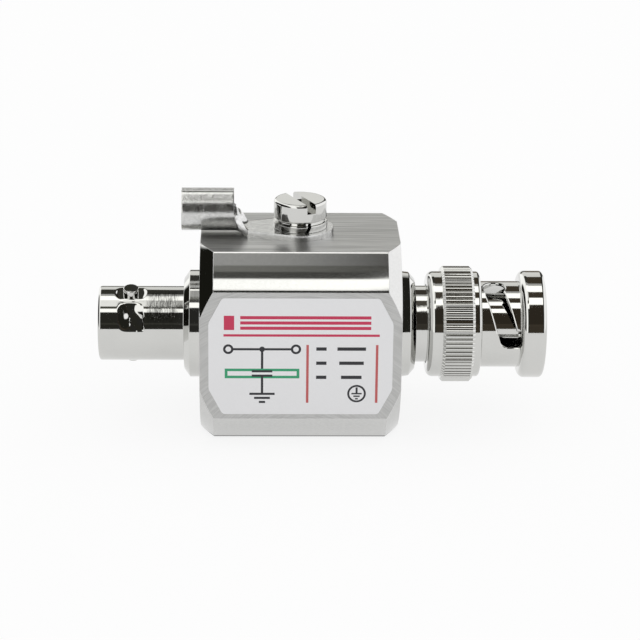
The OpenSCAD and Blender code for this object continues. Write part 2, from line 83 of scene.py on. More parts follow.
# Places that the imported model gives
housing_low, housing_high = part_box("housing")
jack_low, jack_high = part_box("jack_shell")
plug_low, plug_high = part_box("plug_body")
nut_low, nut_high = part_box("coupling_nut")
sleeve_low, sleeve_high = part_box("plug_outer_contact")
label_low, label_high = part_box("label")
lug_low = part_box("earth_lug")[0]
washer_low, washer_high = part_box("spring_washer")
screw_low, screw_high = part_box("earth_screw")
wave_low, wave_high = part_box("wave_spring")
cap_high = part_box("tube_cap")[1]
axis_z = (housing_low.z + housing_high.z) / 2
top_z = housing_high.z


# Studio screens, as the jack, the housing and the nut reflect them: the angle in degrees where each begins
# and its tone there
SCREEN_FLOOR = 0.97
SCREENS = (
    ((-2, -2, -7), (0.028, 0.028, 0.045)),
    ((14, 14, 14), (0.055, 0.055, 0.05)),
    ((18, 18, 18), (0.028, 0.028, 0.03)),
    ((52, 52, 61), (1.6, 1.6, 1.8)),
    ((63.5, 63.5, 77), (0.09, 0.09, 0.04)),
    ((69, 71, 79), (0.09, 0.22, 0.045)),
    ((71, 78, 80), (1.2, 0.42, 0.05)),
    ((94, 93, 92), (1.7, 1.7, 1.7)),
    ((111, 110, 109), (0.5, 0.5, 0.5)),
    ((120, 118, 116), (0.045, 0.045, 0.05)),
    ((146, 144, 141), (0.92, 0.92, 0.92)),
    ((169, 168, 167), (0.12, 0.12, 0.12)),
)

# Tint of the bright screens, tints of the dark ones in the same three places, and the tone that parts them
WARMTH = (1.0, 1.0, 0.97)
SHADOWS = ((1.0, 1.0, 0.8), (1.0, 1.0, 0.92), (1.22, 1.0, 0.72))
DARK = 0.3

# Screens at the ends: the end as the sign of x, the sideways shares where each begins and is full, its colour
SIDES = (
    (-1, 0.2, 0.3, (1.4, 1.4, 1.38)),
    (-1, 0.6, 0.68, (0.012, 0.012, 0.009)),
    (1, 0.15, 0.2, (0.02, 0.02, 0.016)),
    (1, 0.4, 0.5, (1.3, 1.3, 1.31)),
)


# Settings

def length(name, description, millimetres):
    return bpy.props.FloatProperty(
        name=name, description=description, default=millimetres * MM, min=0, unit="LENGTH", precision=5)


def angle(name, description, degrees):
    return bpy.props.FloatProperty(
        name=name, description=description, default=math.radians(degrees), subtype="ANGLE", unit="ROTATION")


def share(name, description, value):
    return bpy.props.FloatProperty(
        name=name, description=description, default=value, min=0, max=1, subtype="FACTOR")


def colour(name, description, value):
    return bpy.props.FloatVectorProperty(
        name=name, description=description, default=value, min=0, max=1, size=3, subtype="COLOR")


def count(name, description, value):
    return bpy.props.IntProperty(name=name, description=description, default=value, min=1)


class HousingSettings(bpy.types.PropertyGroup):
    """The square bar."""
    flat_width: length("Flat width", "Width of each flat between the turned corners", 16.9)
    end_chamfer: length("End chamfer", "Turned chamfer on each end", 1.75)
    port_bore: length("Port bore", "Diameter of the two connector ports", 12)
    port_depth: length("Port depth", "Depth of each connector port", 6.5)
    chamber_bore: length("Chamber bore", "Diameter of the bore between the ports", 9.6)
    tube_bore: length("Tube bore", "Diameter of the gas tube's bore", 8.5)
    cap_bore: length("Cap bore", "Diameter of the hole under the gas tube", 10.5)
    tapped_hole: length("Tapped hole", "Diameter of the earth screw's hole", 4.1)
    tapped_depth: length("Tapped depth", "Depth of the earth screw's hole", 6.9)
    edge_round: length("Edge round", "Rounding of the milled edges", 0.15)
    # The edges' lighter colour is partly wear and partly a painted highlight along them
    edge_metal: colour("Edge metal", "Colour of the worn edges", (0.74, 0.74, 0.73))
    metal: colour("Metal", "Colour of the satin plating", (0.63, 0.63, 0.62))


class LabelSettings(bpy.types.PropertyGroup):
    """The foil label on the front."""
    corner_width: length("Corner width", "How far each cut corner runs along the label", 1.75)
    corner_height: length("Corner height", "How far each cut corner runs down the label", 3.33)
    corner_round: length("Corner round", "Rounding of the label's corners", 0.32)
    foil: colour("Foil", "Colour of the foil", (0.79, 0.79, 0.8))
    red_ink: colour("Red ink", "Colour of the main rule and the band", (0.55, 0.03, 0.09))
    brick_ink: colour("Brick ink", "Colour of the upright rules", (0.50, 0.10, 0.10))
    dark_ink: colour("Dark ink", "Colour of the circuit diagram", (0.02, 0.02, 0.025))
    green_ink: colour("Green ink", "Colour of the small field", (0.03, 0.32, 0.15))


class JackSettings(bpy.types.PropertyGroup):
    """The bayonet jack."""
    flange_length: length("Flange length", "Length of the flange", 2.2)
    flange_chamfer: length("Flange chamfer", "Axial length of the flange's chamfer", 0.75)
    chamfer_depth: length("Chamfer depth", "Radial depth of the flange's chamfer", 1.05)
    spigot_diameter: length("Spigot", "Diameter of the spigot in the housing", 11.9)
    barrel_diameter: length("Barrel", "Outer diameter of the barrel", 9.68)
    barrel_bore: length("Barrel bore", "Bore of the barrel", 8.12)
    bore_depth: length("Bore depth", "Depth of the barrel's bore", 8.4)
    insulator_bore: length("Insulator bore", "Bore behind the barrel's bore", 6.4)
    mouth_round: length("Mouth round", "Rounding of the mouth", 0.35)
    lug_diameter: length("Lug", "Diameter of a bayonet lug", 2)
    lug_span: length("Lug span", "Distance over the two lugs", 11)
    lug_setback: length("Lug setback", "Distance from the mouth to the lugs", 4.2)
    lug_angle: angle("Lug angle", "Clock angle of the first lug, from the top to the front", 16)
    spot_diameter: length("Spot face", "Diameter of the spot face round each lug", 4.2)
    flat_width: length("Flat width", "Length of the flats milled between the lugs", 3.4)
    flat_depth: length("Flat depth", "Depth of the flats", 0.38)
    spot_depth: length("Spot depth", "Depth of the spot faces", 0.18)
    flat_count: count("Flats", "Number of flats milled round the barrel", 8)
    metal: colour("Metal", "Colour of the bright nickel", (0.65, 0.65, 0.63))


class PlugSettings(bpy.types.PropertyGroup):
    """The plug's body and its slotted outer contact."""
    rim_taper: length("Rim taper", "How far the flange's rim draws in towards its chamfer", 0.19)
    neck_diameter: length("Neck", "Diameter of the neck behind the nut", 10)
    shoulder_length: length("Shoulder length", "Length of the shoulder that holds the nut", 1.5)
    shoulder_diameter: length("Shoulder", "Diameter of that shoulder", 11.8)
    seat_diameter: length("Seat", "Bore that takes the outer contact", 8.06)
    seat_depth: length("Seat depth", "Depth of that bore", 3)
    bore: length("Bore", "Bore that takes the insulator", 6.94)
    contact_wall: length("Contact wall", "Wall of the outer contact", 0.5)
    contact_slot: length("Contact slot", "Width of the outer contact's slots", 0.4)
    slot_length: length("Slot length", "Length of the outer contact's slots", 8.3)


class NutSettings(bpy.types.PropertyGroup):
    """The knurled coupling nut."""
    lip: length("Lip", "Thickness of the rolled lip at the rear", 0.85)
    lip_bore: length("Lip bore", "Bore of the rear lip", 10.3)
    cavity_bore: length("Cavity bore", "Bore behind the seat", 12.1)
    seat_place: length("Seat place", "Distance from the rear to the seat", 3.78)
    collar_diameter: length("Collar", "Diameter of the collar", 13.8)
    collar_length: length("Collar length", "Length of the collar", 6.9)
    knurl_start: length("Knurl start", "Distance from the rear to the knurl", 1.85)
    knurl_length: length("Knurl length", "Length of the knurl", 4.1)
    knurl_diameter: length("Knurl diameter", "Diameter over the knurl", 15.1)
    knurl_depth: length("Knurl depth", "Depth of the knurl", 0.24)
    knurl_teeth: count("Knurl teeth", "Number of knurl teeth", 80)
    sleeve_diameter: length("Sleeve", "Diameter of the slotted sleeve", 11.26)
    bore: length("Bore", "Bore of the sleeve", 9.8)
    relief: length("Relief", "Bore of the relief behind the front ring", 10.6)
    ring_diameter: length("Front ring", "Diameter of the front ring", 14)
    ring_length: length("Ring length", "Length of the front ring", 3.2)
    slot_width: length("Slot width", "Width of the bayonet slots", 2.4)
    lock_diameter: length("Locking hole", "Diameter of the locking holes", 2.75)
    lock_setback: length("Lock setback", "Distance from the front to the locking holes", 6.5)
    lock_angle: angle("Lock angle", "Clock angle of the first locking hole", 14)
    slot_turn: angle("Slot turn", "Turn from the locking hole to the slot's entry", 79)
    slot_rise: length("Slot rise", "Rise of the slot over that turn", 2.1)
    lock_drop: length("Lock drop", "How far the locking holes lie in front of the slots' own line", 0.3)
    slot_rim: length("Slot rim", "Width of the broken edge on the slots' rims", 0.19)
    keyway_reach: length("Keyway reach", "Radius of the keyways under the front ring", 5.65)


class EarthSettings(bpy.types.PropertyGroup):
    """The earth lug, its screw and the spring washer."""
    sheet: length("Sheet", "Thickness of the lug's sheet", 0.8)
    tongue_diameter: length("Tongue", "Diameter of the lug's ring", 8.6)
    lug_hole: length("Lug hole", "Hole in the lug's ring", 4.3)
    barrel_diameter: length("Barrel", "Outer diameter of the crimp barrel", 5.4)
    barrel_length: length("Barrel length", "Length of the crimp barrel", 6.7)
    barrel_rise: length("Barrel rise", "Height of the barrel over the housing", 0.3)
    neck_width: length("Neck width", "Width of the tongue where it leaves the barrel", 4.6)
    head_height: length("Head height", "Height of the screw's head", 2.5)
    head_chamfer: length("Head chamfer", "Chamfer round the screw's head", 0.45)
    driver_width: length("Driver width", "Width of the driver slot", 1.2)
    driver_depth: length("Driver depth", "Depth of the driver slot", 1.2)
    driver_angle: angle("Driver angle", "Direction of the driver slot", -65)
    shank_diameter: length("Shank", "Diameter of the screw's thread", 4)
    thread_pitch: length("Pitch", "Pitch of the screw's thread", 0.7)
    thread_depth: length("Thread depth", "Depth of the screw's thread", 0.38)
    washer_bore: length("Washer bore", "Bore of the spring washer", 4.3)
    washer_groove: length("Washer groove", "Height of the groove between the washer's rim and the head", 0.3)
    washer_split: angle("Washer split", "Place of the spring washer's split", -80)
    washer_gap: angle("Washer gap", "Gap of the spring washer's split", 8)
    tin: colour("Tin", "Colour of the tinned lug", (0.76, 0.76, 0.75))


class StageSettings(bpy.types.PropertyGroup):
    """Camera, floor and light."""
    lens: bpy.props.FloatProperty(
        name="Lens", description="Focal length in millimetres", default=132.36, min=1)
    distance: length("Distance", "Distance from the camera to its aim", 307.485)
    aim: bpy.props.FloatVectorProperty(
        name="Aim", description="Point that the camera looks at", default=(2.708 * MM, 0, 12.946 * MM),
        size=3, subtype="XYZ", unit="LENGTH", precision=6)
    yaw: angle("Yaw", "Turn of the camera about the vertical", -1.5298)
    pitch: angle("Pitch", "Tilt of the camera downwards", 19.527)
    roll: angle("Roll", "Roll of the camera", -0.66)
    floor_colour: colour("Floor", "Colour of the floor", (0.93, 0.93, 0.93))
    light_level: share("Light level", "Level of the soft light all round", 0.95)


SETTINGS = (
    ("arrestor_housing", HousingSettings),
    ("arrestor_label", LabelSettings),
    ("arrestor_jack", JackSettings),
    ("arrestor_plug", PlugSettings),
    ("arrestor_nut", NutSettings),
    ("arrestor_earth", EarthSettings),
    ("arrestor_stage", StageSettings),
)


# Modelling helpers

def clear_selection():
    if bpy.context.mode != "OBJECT":
        bpy.ops.object.mode_set(mode="OBJECT")
    bpy.ops.object.select_all(action="DESELECT")


def activate(obj):
    clear_selection()
    obj.select_set(True)
    bpy.context.view_layer.objects.active = obj


def settle(obj):
    """Leaves the object at the origin, unturned and unscaled, with its place in its mesh."""
    activate(obj)
    bpy.ops.object.transform_apply(location=True, rotation=True, scale=True)


def merge_doubles(gap=MERGE_GAP):
    """Merges the doubles of the mesh in edit mode and leaves all of it selected."""
    bpy.ops.mesh.select_all(action="SELECT")
    bpy.ops.mesh.remove_doubles(threshold=gap)
    bpy.ops.mesh.select_all(action="SELECT")


def close_mesh(gap=MERGE_GAP):
    """Merges doubles, turns the faces outwards and leaves edit mode."""
    merge_doubles(gap)
    bpy.ops.mesh.normals_make_consistent(inside=False)
    bpy.ops.object.mode_set(mode="OBJECT")


def clean_cuts(obj, merge, smallest):
    """Merges the tiny edges and faces that cuts leave."""
    activate(obj)
    bpy.ops.object.mode_set(mode="EDIT")
    merge_doubles(merge)
    bpy.ops.mesh.dissolve_degenerate(threshold=smallest)
    close_mesh()


def select_vertices(obj, test):
    """Selects the vertices that pass the test and nothing else, and goes into edit mode."""
    activate(obj)
    bpy.ops.object.mode_set(mode="EDIT")
    bpy.ops.mesh.select_mode(type="VERT")
    bpy.ops.mesh.select_all(action="DESELECT")
    bpy.ops.object.mode_set(mode="OBJECT")
    for vertex in obj.data.vertices:
        vertex.select = test(vertex.co)
    bpy.ops.object.mode_set(mode="EDIT")


def draw_outline(name, points):
    """Draws a chain of edges: a small plane merged to one vertex and extruded from point to point."""
    clear_selection()
    bpy.ops.mesh.primitive_plane_add(size=MM, location=points[0])
    obj = bpy.context.object
    obj.name = name
    bpy.ops.object.mode_set(mode="EDIT")
    bpy.ops.mesh.select_mode(type="VERT")
    bpy.ops.mesh.merge(type="CENTER")
    for start, end in zip(points, points[1:]):
        bpy.ops.mesh.extrude_vertices_move(TRANSFORM_OT_translate={"value": end - start})
    return obj


def spin_outline(name, points, centre, axis, steps=TURNED_STEPS):
    """Turns a drawn outline right round an axis."""
    obj = draw_outline(name, points)
    bpy.ops.mesh.select_all(action="SELECT")
    bpy.ops.mesh.spin(steps=steps, angle=TURN, center=centre, axis=axis)
    close_mesh()
    settle(obj)
    return obj


def turned_x(name, outline, closed=True, steps=TURNED_STEPS):
    """A piece turned on the coaxial axis. The outline gives axial place and radius."""
    points = [Vector((x, 0, axis_z + r)) for x, r in outline]
    if closed:
        points.append(points[0])
    return spin_outline(name, points, (0, 0, axis_z), (1, 0, 0), steps)


def turned_z(name, outline, steps=TURNED_STEPS):
    """A piece turned on the vertical through the origin. The outline gives radius and height, from the axis
    round to the axis."""
    points = [Vector((r, 0, z)) for r, z in outline]
    return spin_outline(name, points, (0, 0, 0), (0, 0, 1), steps)


def arc(centre_a, centre_b, radius, start, end, steps=6):
    """Points of an arc in an outline's own plane, between two angles in degrees."""
    turns = [math.radians(start + (end - start) * i / steps) for i in range(steps + 1)]
    return [(centre_a + radius * math.cos(a), centre_b + radius * math.sin(a)) for a in turns]


def soften(outline, radius, closed=True):
    """Rounds the sharp corners of an outline, as turning and plating leave them."""
    most = 0.45
    points = [Vector(point) for point in outline]
    softened = []
    for i, corner in enumerate(points):
        at_end = not closed and i in (0, len(points) - 1)
        before = points[i - 1] - corner
        after = points[(i + 1) % len(points)] - corner
        if at_end or before.angle(-after) < SHARP_CORNER:
            softened.append(corner)
            continue
        first = corner + before.normalized() * min(radius, before.length * most)
        second = corner + after.normalized() * min(radius, after.length * most)
        softened += [first, (first + 2 * corner + second) / 4, second]
    return hold(softened, closed)


def hold(outline, closed=True):
    """Adds a point near both ends of each long run, so that its shading stays flat between them."""
    shortest = 10 * HOLD_GAP
    held = []
    for i, start in enumerate(outline):
        held.append(tuple(start))
        if not closed and i == len(outline) - 1:
            break
        run = Vector(outline[(i + 1) % len(outline)]) - Vector(start)
        if run.length > shortest:
            step = run.normalized() * HOLD_GAP
            held += [tuple(Vector(start) + step), tuple(Vector(start) + run - step)]
    return held


def apply_modifier(obj, kind, **settings):
    """Adds a modifier, gives it its settings and applies it."""
    activate(obj)
    bpy.ops.object.modifier_add(type=kind)
    modifier = obj.modifiers[-1]
    for key, value in settings.items():
        setattr(modifier, key, value)
    bpy.ops.object.modifier_apply(modifier=modifier.name)


def combine(target, tool, operation):
    """Joins, cuts or trims one mesh by another, which is used up."""
    apply_modifier(target, "BOOLEAN", object=tool, operation=operation, solver="EXACT")
    bpy.data.objects.remove(tool, do_unlink=True)
    if not target.data.polygons:
        raise RuntimeError("nothing is left of " + target.name)


def bevel_edges(obj, width, limit, slot=-1):
    """Rounds the edges that are sharper than the limit, and can give the new faces a material slot."""
    apply_modifier(obj, "BEVEL", width=width, segments=EDGE_STEPS, limit_method="ANGLE", angle_limit=limit,
                   harden_normals=False, material=slot)


def box(name, low, high):
    """A plain box between two corners, for cutting."""
    clear_selection()
    middle = (Vector(low) + Vector(high)) / 2
    bpy.ops.mesh.primitive_cube_add(size=1, location=middle, scale=Vector(high) - Vector(low))
    obj = bpy.context.object
    obj.name = name
    settle(obj)
    return obj


def grid(name, columns, rows):
    """Adds a grid, and gives for each vertex its share of the way along and across."""
    clear_selection()
    bpy.ops.mesh.primitive_grid_add(x_subdivisions=columns, y_subdivisions=rows, size=2)
    obj = bpy.context.object
    obj.name = name
    return [(v, (v.co.x + 1) / 2, (v.co.y + 1) / 2) for v in obj.data.vertices]


def copy_piece(obj):
    """A copy with its own mesh."""
    activate(obj)
    bpy.ops.object.duplicate(linked=False)
    return bpy.context.object


def turn_to_clock(obj, clock, place_x):
    """Puts a piece drawn along +Z from the origin onto the coaxial axis, at a clock angle."""
    obj.rotation_euler = (clock, 0, 0)
    obj.location = (place_x, 0, axis_z)
    settle(obj)


def clamp(value):
    return max(0.0, min(1.0, value))


def ease(value):
    """Goes from 0 to 1 and is level at both ends."""
    return value * value * (3 - 2 * value)


def clock_of(place):
    """Clock angle and radius of a point round the coaxial axis."""
    return math.atan2(-place.y, place.z - axis_z), math.hypot(place.y, place.z - axis_z)


def clock_point(x, clock, radius):
    return Vector((x, -radius * math.sin(clock), axis_z + radius * math.cos(clock)))


def dress(obj, material, body, node, smooth=SMOOTH_ANGLE, edge=None):
    """Shades a piece, gives it its finish, and its edges theirs, and puts it on its body."""
    activate(obj)
    bpy.ops.object.shade_smooth_by_angle(angle=smooth)
    apply_modifier(obj, "WEIGHTED_NORMAL", keep_sharp=True)
    edges = [polygon.index for polygon in obj.data.polygons if polygon.material_index == 1]
    obj.data.materials.clear()
    obj.data.materials.append(material)
    if edge:
        obj.data.materials.append(edge)
        for index in edges:
            obj.data.polygons[index].material_index = 1
    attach(obj, body)
    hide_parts(node)


# Shader helpers

class Wire:
    """A value in a shader's node tree. Plain arithmetic on it adds the nodes."""

    def __init__(self, tree, socket=None):
        self.tree = tree
        self.socket = socket

    def node(self, kind, settings=None, sockets=None, output=0):
        """Adds any node: its settings first, then the values or wires of its sockets."""
        made = self.tree.nodes.new(kind)
        for key, value in (settings or {}).items():
            setattr(made, key, value)
        for key, value in (sockets or {}).items():
            self.join(value, made.inputs[key])
        return Wire(self.tree, made.outputs[output])

    def join(self, value, socket):
        if isinstance(value, Wire):
            self.tree.links.new(value.socket, socket)
        else:
            socket.default_value = value

    def other(self, output):
        """Another output of the same node."""
        return Wire(self.tree, self.socket.node.outputs[output])

    def math(self, operation, *values):
        return self.node("ShaderNodeMath", {"operation": operation}, dict(enumerate(values)))

    def __add__(self, other):
        return self.math("ADD", self, other)

    def __radd__(self, other):
        return self.math("ADD", other, self)

    def __sub__(self, other):
        return self.math("SUBTRACT", self, other)

    def __rsub__(self, other):
        return self.math("SUBTRACT", other, self)

    def __mul__(self, other):
        return self.math("MULTIPLY", self, other)

    def __rmul__(self, other):
        return self.math("MULTIPLY", other, self)

    def __truediv__(self, other):
        return self.math("DIVIDE", self, other)

    def __rtruediv__(self, other):
        return self.math("DIVIDE", other, self)

    def __gt__(self, other):
        return self.math("GREATER_THAN", self, other)

    def __lt__(self, other):
        return self.math("LESS_THAN", self, other)

    def __abs__(self):
        return self.math("ABSOLUTE", self)

    def either(self, other):
        return self.math("MAXIMUM", self, other)

    def square_root(self):
        return self.math("SQRT", self)

    def smooth(self, low, high):
        """0 below low, 1 above high, and smooth between."""
        settings = {"interpolation_type": "SMOOTHSTEP"}
        return self.node("ShaderNodeMapRange", settings, {0: self, 1: low, 2: high})


def opaque(value):
    return (*value, 1)


def mix_colours(factor, first, second):
    settings = {"data_type": "RGBA", "clamp_factor": False}
    return factor.node("ShaderNodeMix", settings, {0: factor, 6: first, 7: second}, 2)


def shaded(metal, shade):
    """A metal's colour times a shade."""
    return mix_colours(shade, BLACK, opaque(metal))


def clouded(cloud, base, least):
    """A colour that a cloud takes down to a share of itself."""
    return mix_colours(cloud, opaque(base), opaque([v * least for v in base]))


def place_of(root):
    """Object coordinates."""
    return root.node("ShaderNodeTexCoord", output=3)


def axes_of(vector):
    """The x, y and z of a vector."""
    x = vector.node("ShaderNodeSeparateXYZ", None, {0: vector})
    return x, x.other(1), x.other(2)


def grain(place, stretch, detail=3.0, roughness=0.55):
    """Noise with one number of grains per metre, or one for each of x, y and z."""
    stretch = stretch if isinstance(stretch, tuple) else (stretch,) * 3
    spread = place.node("ShaderNodeVectorMath", {"operation": "MULTIPLY"}, {0: place, 1: stretch})
    sockets = {"Vector": spread, "Scale": 1.0, "Detail": detail, "Roughness": roughness}
    return spread.node("ShaderNodeTexNoise", None, sockets)


def relief(height, distance):
    """A bump whose full height is a distance in metres."""
    return height.node("ShaderNodeBump", None, {"Height": height, "Distance": distance, "Strength": 1.0})


def new_finish(name):
    """A material with its surface shader and a wire to start from."""
    material = bpy.data.materials.new(name)
    material.use_nodes = True
    surface = material.node_tree.nodes["Principled BSDF"]
    return material, Wire(material.node_tree), surface.inputs


def bright_nickel(name, metal, marks, roughness=0.05, chatter=None):
    """Bright nickel over turned metal.

    The marks give the tool marks' grains per metre and their height. Chatter gives the axial stretch where
    the tool rattled, on the side towards the label; there dark streaks of painted shade darken the colour.
    """
    material, root, surface = new_finish(name)
    place = place_of(root)
    tone = clouded(grain(place, 260, 2.0), metal, 0.92)
    surface["Metallic"].default_value = 1.0
    haze = grain(place, 900).smooth(0.45, 0.75)
    root.join(roughness + haze * 0.04, surface["Roughness"])
    stretch, height = marks
    rise = grain(place, stretch, 2.0)
    if chatter:
        chatter_height = 14.0
        painted_streak_depth = 0.68
        x, y, z = axes_of(place)
        low, high = chatter
        along = x.smooth(low, low + 0.7 * MM) * (1 - x.smooth(high - 1.2 * MM, high))
        side = (0 - y).smooth(0.6 * MM, 2 * MM) * (z - axis_z).smooth(1 * MM, 2.6 * MM)
        rattle = grain(place, (6400, 900, 900), 3.0, 0.7)
        rise = rise + rattle * along * side * chatter_height
        # Painted shade: dark streaks in the colour where the tool rattled, for the dark reflections in the
        # chatter ripples
        painted_light = along * side * rattle.smooth(0.35, 0.65)
        tone = mix_colours(painted_light * painted_streak_depth, tone, BLACK)
    root.join(tone, surface["Base Color"])
    root.join(relief(rise, height), surface["Normal"])
    return material


def satin_plating(name, metal):
    """Satin plated bar: brushed top, arcs of a face mill on the front, finely ground corners and ends, and a
    painted contact shadow along the foot.
    """
    mill_radius = 18 * MM
    foot_shadow_band = (0.22 * MM, 0.42 * MM)
    foot_shadow_level = 0.04
    flat_facing = (0.985, 0.995)
    material, root, surface = new_finish(name)
    place = place_of(root)
    x, y, z = axes_of(place)
    normal_x, normal_y, normal_z = axes_of(root.node("ShaderNodeTexCoord", output=1))
    level = abs(normal_z).smooth(*flat_facing)
    upright = abs(normal_y).smooth(*flat_facing)
    ground = 1 - level - upright
    streaks = grain(place, (70, 3000, 3000), 4.0, 0.65)
    fine = grain(place, (250, 11000, 11000), 2.0)
    rise = z - (axis_z - mill_radius)
    swing = x.math("ARCTAN2", x, rise) * mill_radius
    sweep = (x * x + rise * rise).square_root()
    arcs = root.node("ShaderNodeCombineXYZ", None, {0: swing, 1: y, 2: sweep})
    milled = grain(arcs, (450, 450, 14000), 1.0)
    mottle = grain(place, (2600, 4200, 4200), 3.0, 0.7)
    # Each face of the one plating has its own level: the brushed top and the milled front are darker than the
    # ground corners, partly for their finish and partly as painted shade
    top = level * (0.62 + streaks.smooth(0.3, 0.7) * 0.46)
    front = upright * (0.73 + milled.smooth(0.3, 0.7) * 0.17)
    shade = top + front + ground * (0.95 + mottle.smooth(0.3, 0.7) * 0.06)
    # Painted contact shadow: the colour darkens to a small share of itself along the bottom edge
    shade = shade * (foot_shadow_level + z.smooth(*foot_shadow_band) * (1 - foot_shadow_level))
    root.join(shaded(metal, shade), surface["Base Color"])
    surface["Metallic"].default_value = 1.0
    root.join(level * 0.36 + upright * 0.3 + ground * (0.03 + mottle * 0.06), surface["Roughness"])
    height = level * (streaks * 0.5 + fine * 0.5) + upright * milled * 0.6 + ground * mottle * 0.03
    root.join(relief(height, 0.008 * MM), surface["Normal"])
    return material


def tinned(name, metal):
    """Dull tin with fine grains."""
    material, root, surface = new_finish(name)
    place = place_of(root)
    coarse = grain(place, 1500, 4.0, 0.7)
    fine = grain(place, 5600, 2.0, 0.6)
    specks = fine.smooth(0.64, 0.72)
    shade = 0.74 + coarse.smooth(0.3, 0.7) * 0.2 + specks * 0.25
    root.join(shaded(metal, shade), surface["Base Color"])
    surface["Metallic"].default_value = 1.0
    root.join(0.15 + coarse * 0.16 + specks * 0.14, surface["Roughness"])
    root.join(relief(coarse * 0.75 + fine * 0.25, 0.03 * MM), surface["Normal"])
    return material


def plain_finish(name, base, roughness, metallic=0.0, height=0.004):
    """A finish with a slight cloud in its colour and a fine grain."""
    material, root, surface = new_finish(name)
    place = place_of(root)
    root.join(clouded(grain(place, 600, 2.0), base, 0.9), surface["Base Color"])
    surface["Metallic"].default_value = metallic
    fine = grain(place, 2500)
    root.join(roughness + fine * 0.1, surface["Roughness"])
    root.join(relief(fine, height * MM), surface["Normal"])
    return material


class Print:
    """Ink on the label, laid on in order. Places are millimetres from the label's middle."""

    def __init__(self, x, z, foil):
        self.x = x
        self.z = z
        self.ink = foil

    def lay(self, mask, ink):
        self.ink = mix_colours(mask, self.ink, opaque(ink))

    def bar(self, x, z, width, height, ink):
        inside = (abs(self.x - x) < width / 2) * (abs(self.z - z) < height / 2)
        self.lay(inside, ink)

    def ring(self, x, z, radius, line, ink):
        dx = self.x - x
        dz = self.z - z
        away = (dx * dx + dz * dz).square_root()
        self.lay(abs(away - radius) < line / 2, ink)

    def disc(self, x, z, radius, ink):
        dx = self.x - x
        dz = self.z - z
        self.lay((dx * dx + dz * dz) < radius * radius, ink)


def printed_foil(settings):
    """Silver-grey foil with plain rules, fields and a circuit diagram."""
    material, root, surface = new_finish("label_foil_print")
    place = place_of(root)
    x, y, z = axes_of(place)
    middle_z = (label_low.z + label_high.z) / 2
    speckle = grain(place, 2600)
    foil = mix_colours(speckle, opaque([v * 0.97 for v in settings.foil]), opaque(settings.foil))
    sheet = Print(x / MM, (z - middle_z) / MM, foil)
    red, dark = settings.red_ink, settings.dark_ink
    rule = 0.32
    # Heading: a square, a row of bars and a rule, and an upright rule on both sides of the fields
    sheet.bar(-9.0, 4.5, 1.3, 1.9, red)
    for row in range(3):
        sheet.bar(0.6, 5.2 - 0.7 * row, 16.4, 0.42, red)
    sheet.bar(0.1, 2.84, 19.6, rule, red)
    for upright_x in (0.86, 9.6):
        sheet.bar(upright_x, -2.3, rule, 7.8, settings.brick_ink)
    # The line between its two ports, with the gas tube across it to earth
    tube_x = -4.85
    line_z = 1.0
    tube_z = -2.25
    line = 0.3
    sheet.bar(tube_x, line_z, 7.6, line, dark)
    for port_x in (-9.1, -0.6):
        sheet.ring(port_x, line_z, 0.5, line, dark)
    sheet.disc(tube_x, line_z, 0.36, dark)
    sheet.bar(tube_x, -0.3, line, 2.6, dark)
    sheet.bar(tube_x, tube_z, 9.4, 1.3, settings.green_ink)
    sheet.bar(tube_x, tube_z, 8.7, 0.6, settings.foil)
    for plate in (0.3, -0.3):
        sheet.bar(tube_x, tube_z + plate, 2.6, line, dark)
    sheet.bar(tube_x, -3.8, line, 2.4, dark)
    for step, width in enumerate((3.2, 2.0, 0.8)):
        sheet.bar(tube_x, -5.0 - 0.55 * step, width, line, dark)
    # Three rows of plain fields, and the sign for earth in a ring
    field = 0.45
    for row in range(3):
        row_z = 1.05 - 1.9 * row
        sheet.bar(2.6, row_z, 1.3, field, dark)
        sheet.bar(6.4, row_z, 3.6 - 0.5 * row, field, dark)
    sign_x = 7.1
    sign_z = -4.95
    sign_line = 0.26
    sheet.ring(sign_x, sign_z, 1.05, sign_line, dark)
    sheet.bar(sign_x, -4.5, sign_line, 0.8, dark)
    for step, width in enumerate((1.3, 0.8, 0.35)):
        sheet.bar(sign_x, sign_z - 0.35 * step, width, 0.2, dark)
    root.join(sheet.ink, surface["Base Color"])
    root.join(0.42 + speckle * 0.12, surface["Roughness"])
    root.join(relief(speckle, 0.002 * MM), surface["Normal"])
    return material


# Operators, one for each piece or group of like pieces

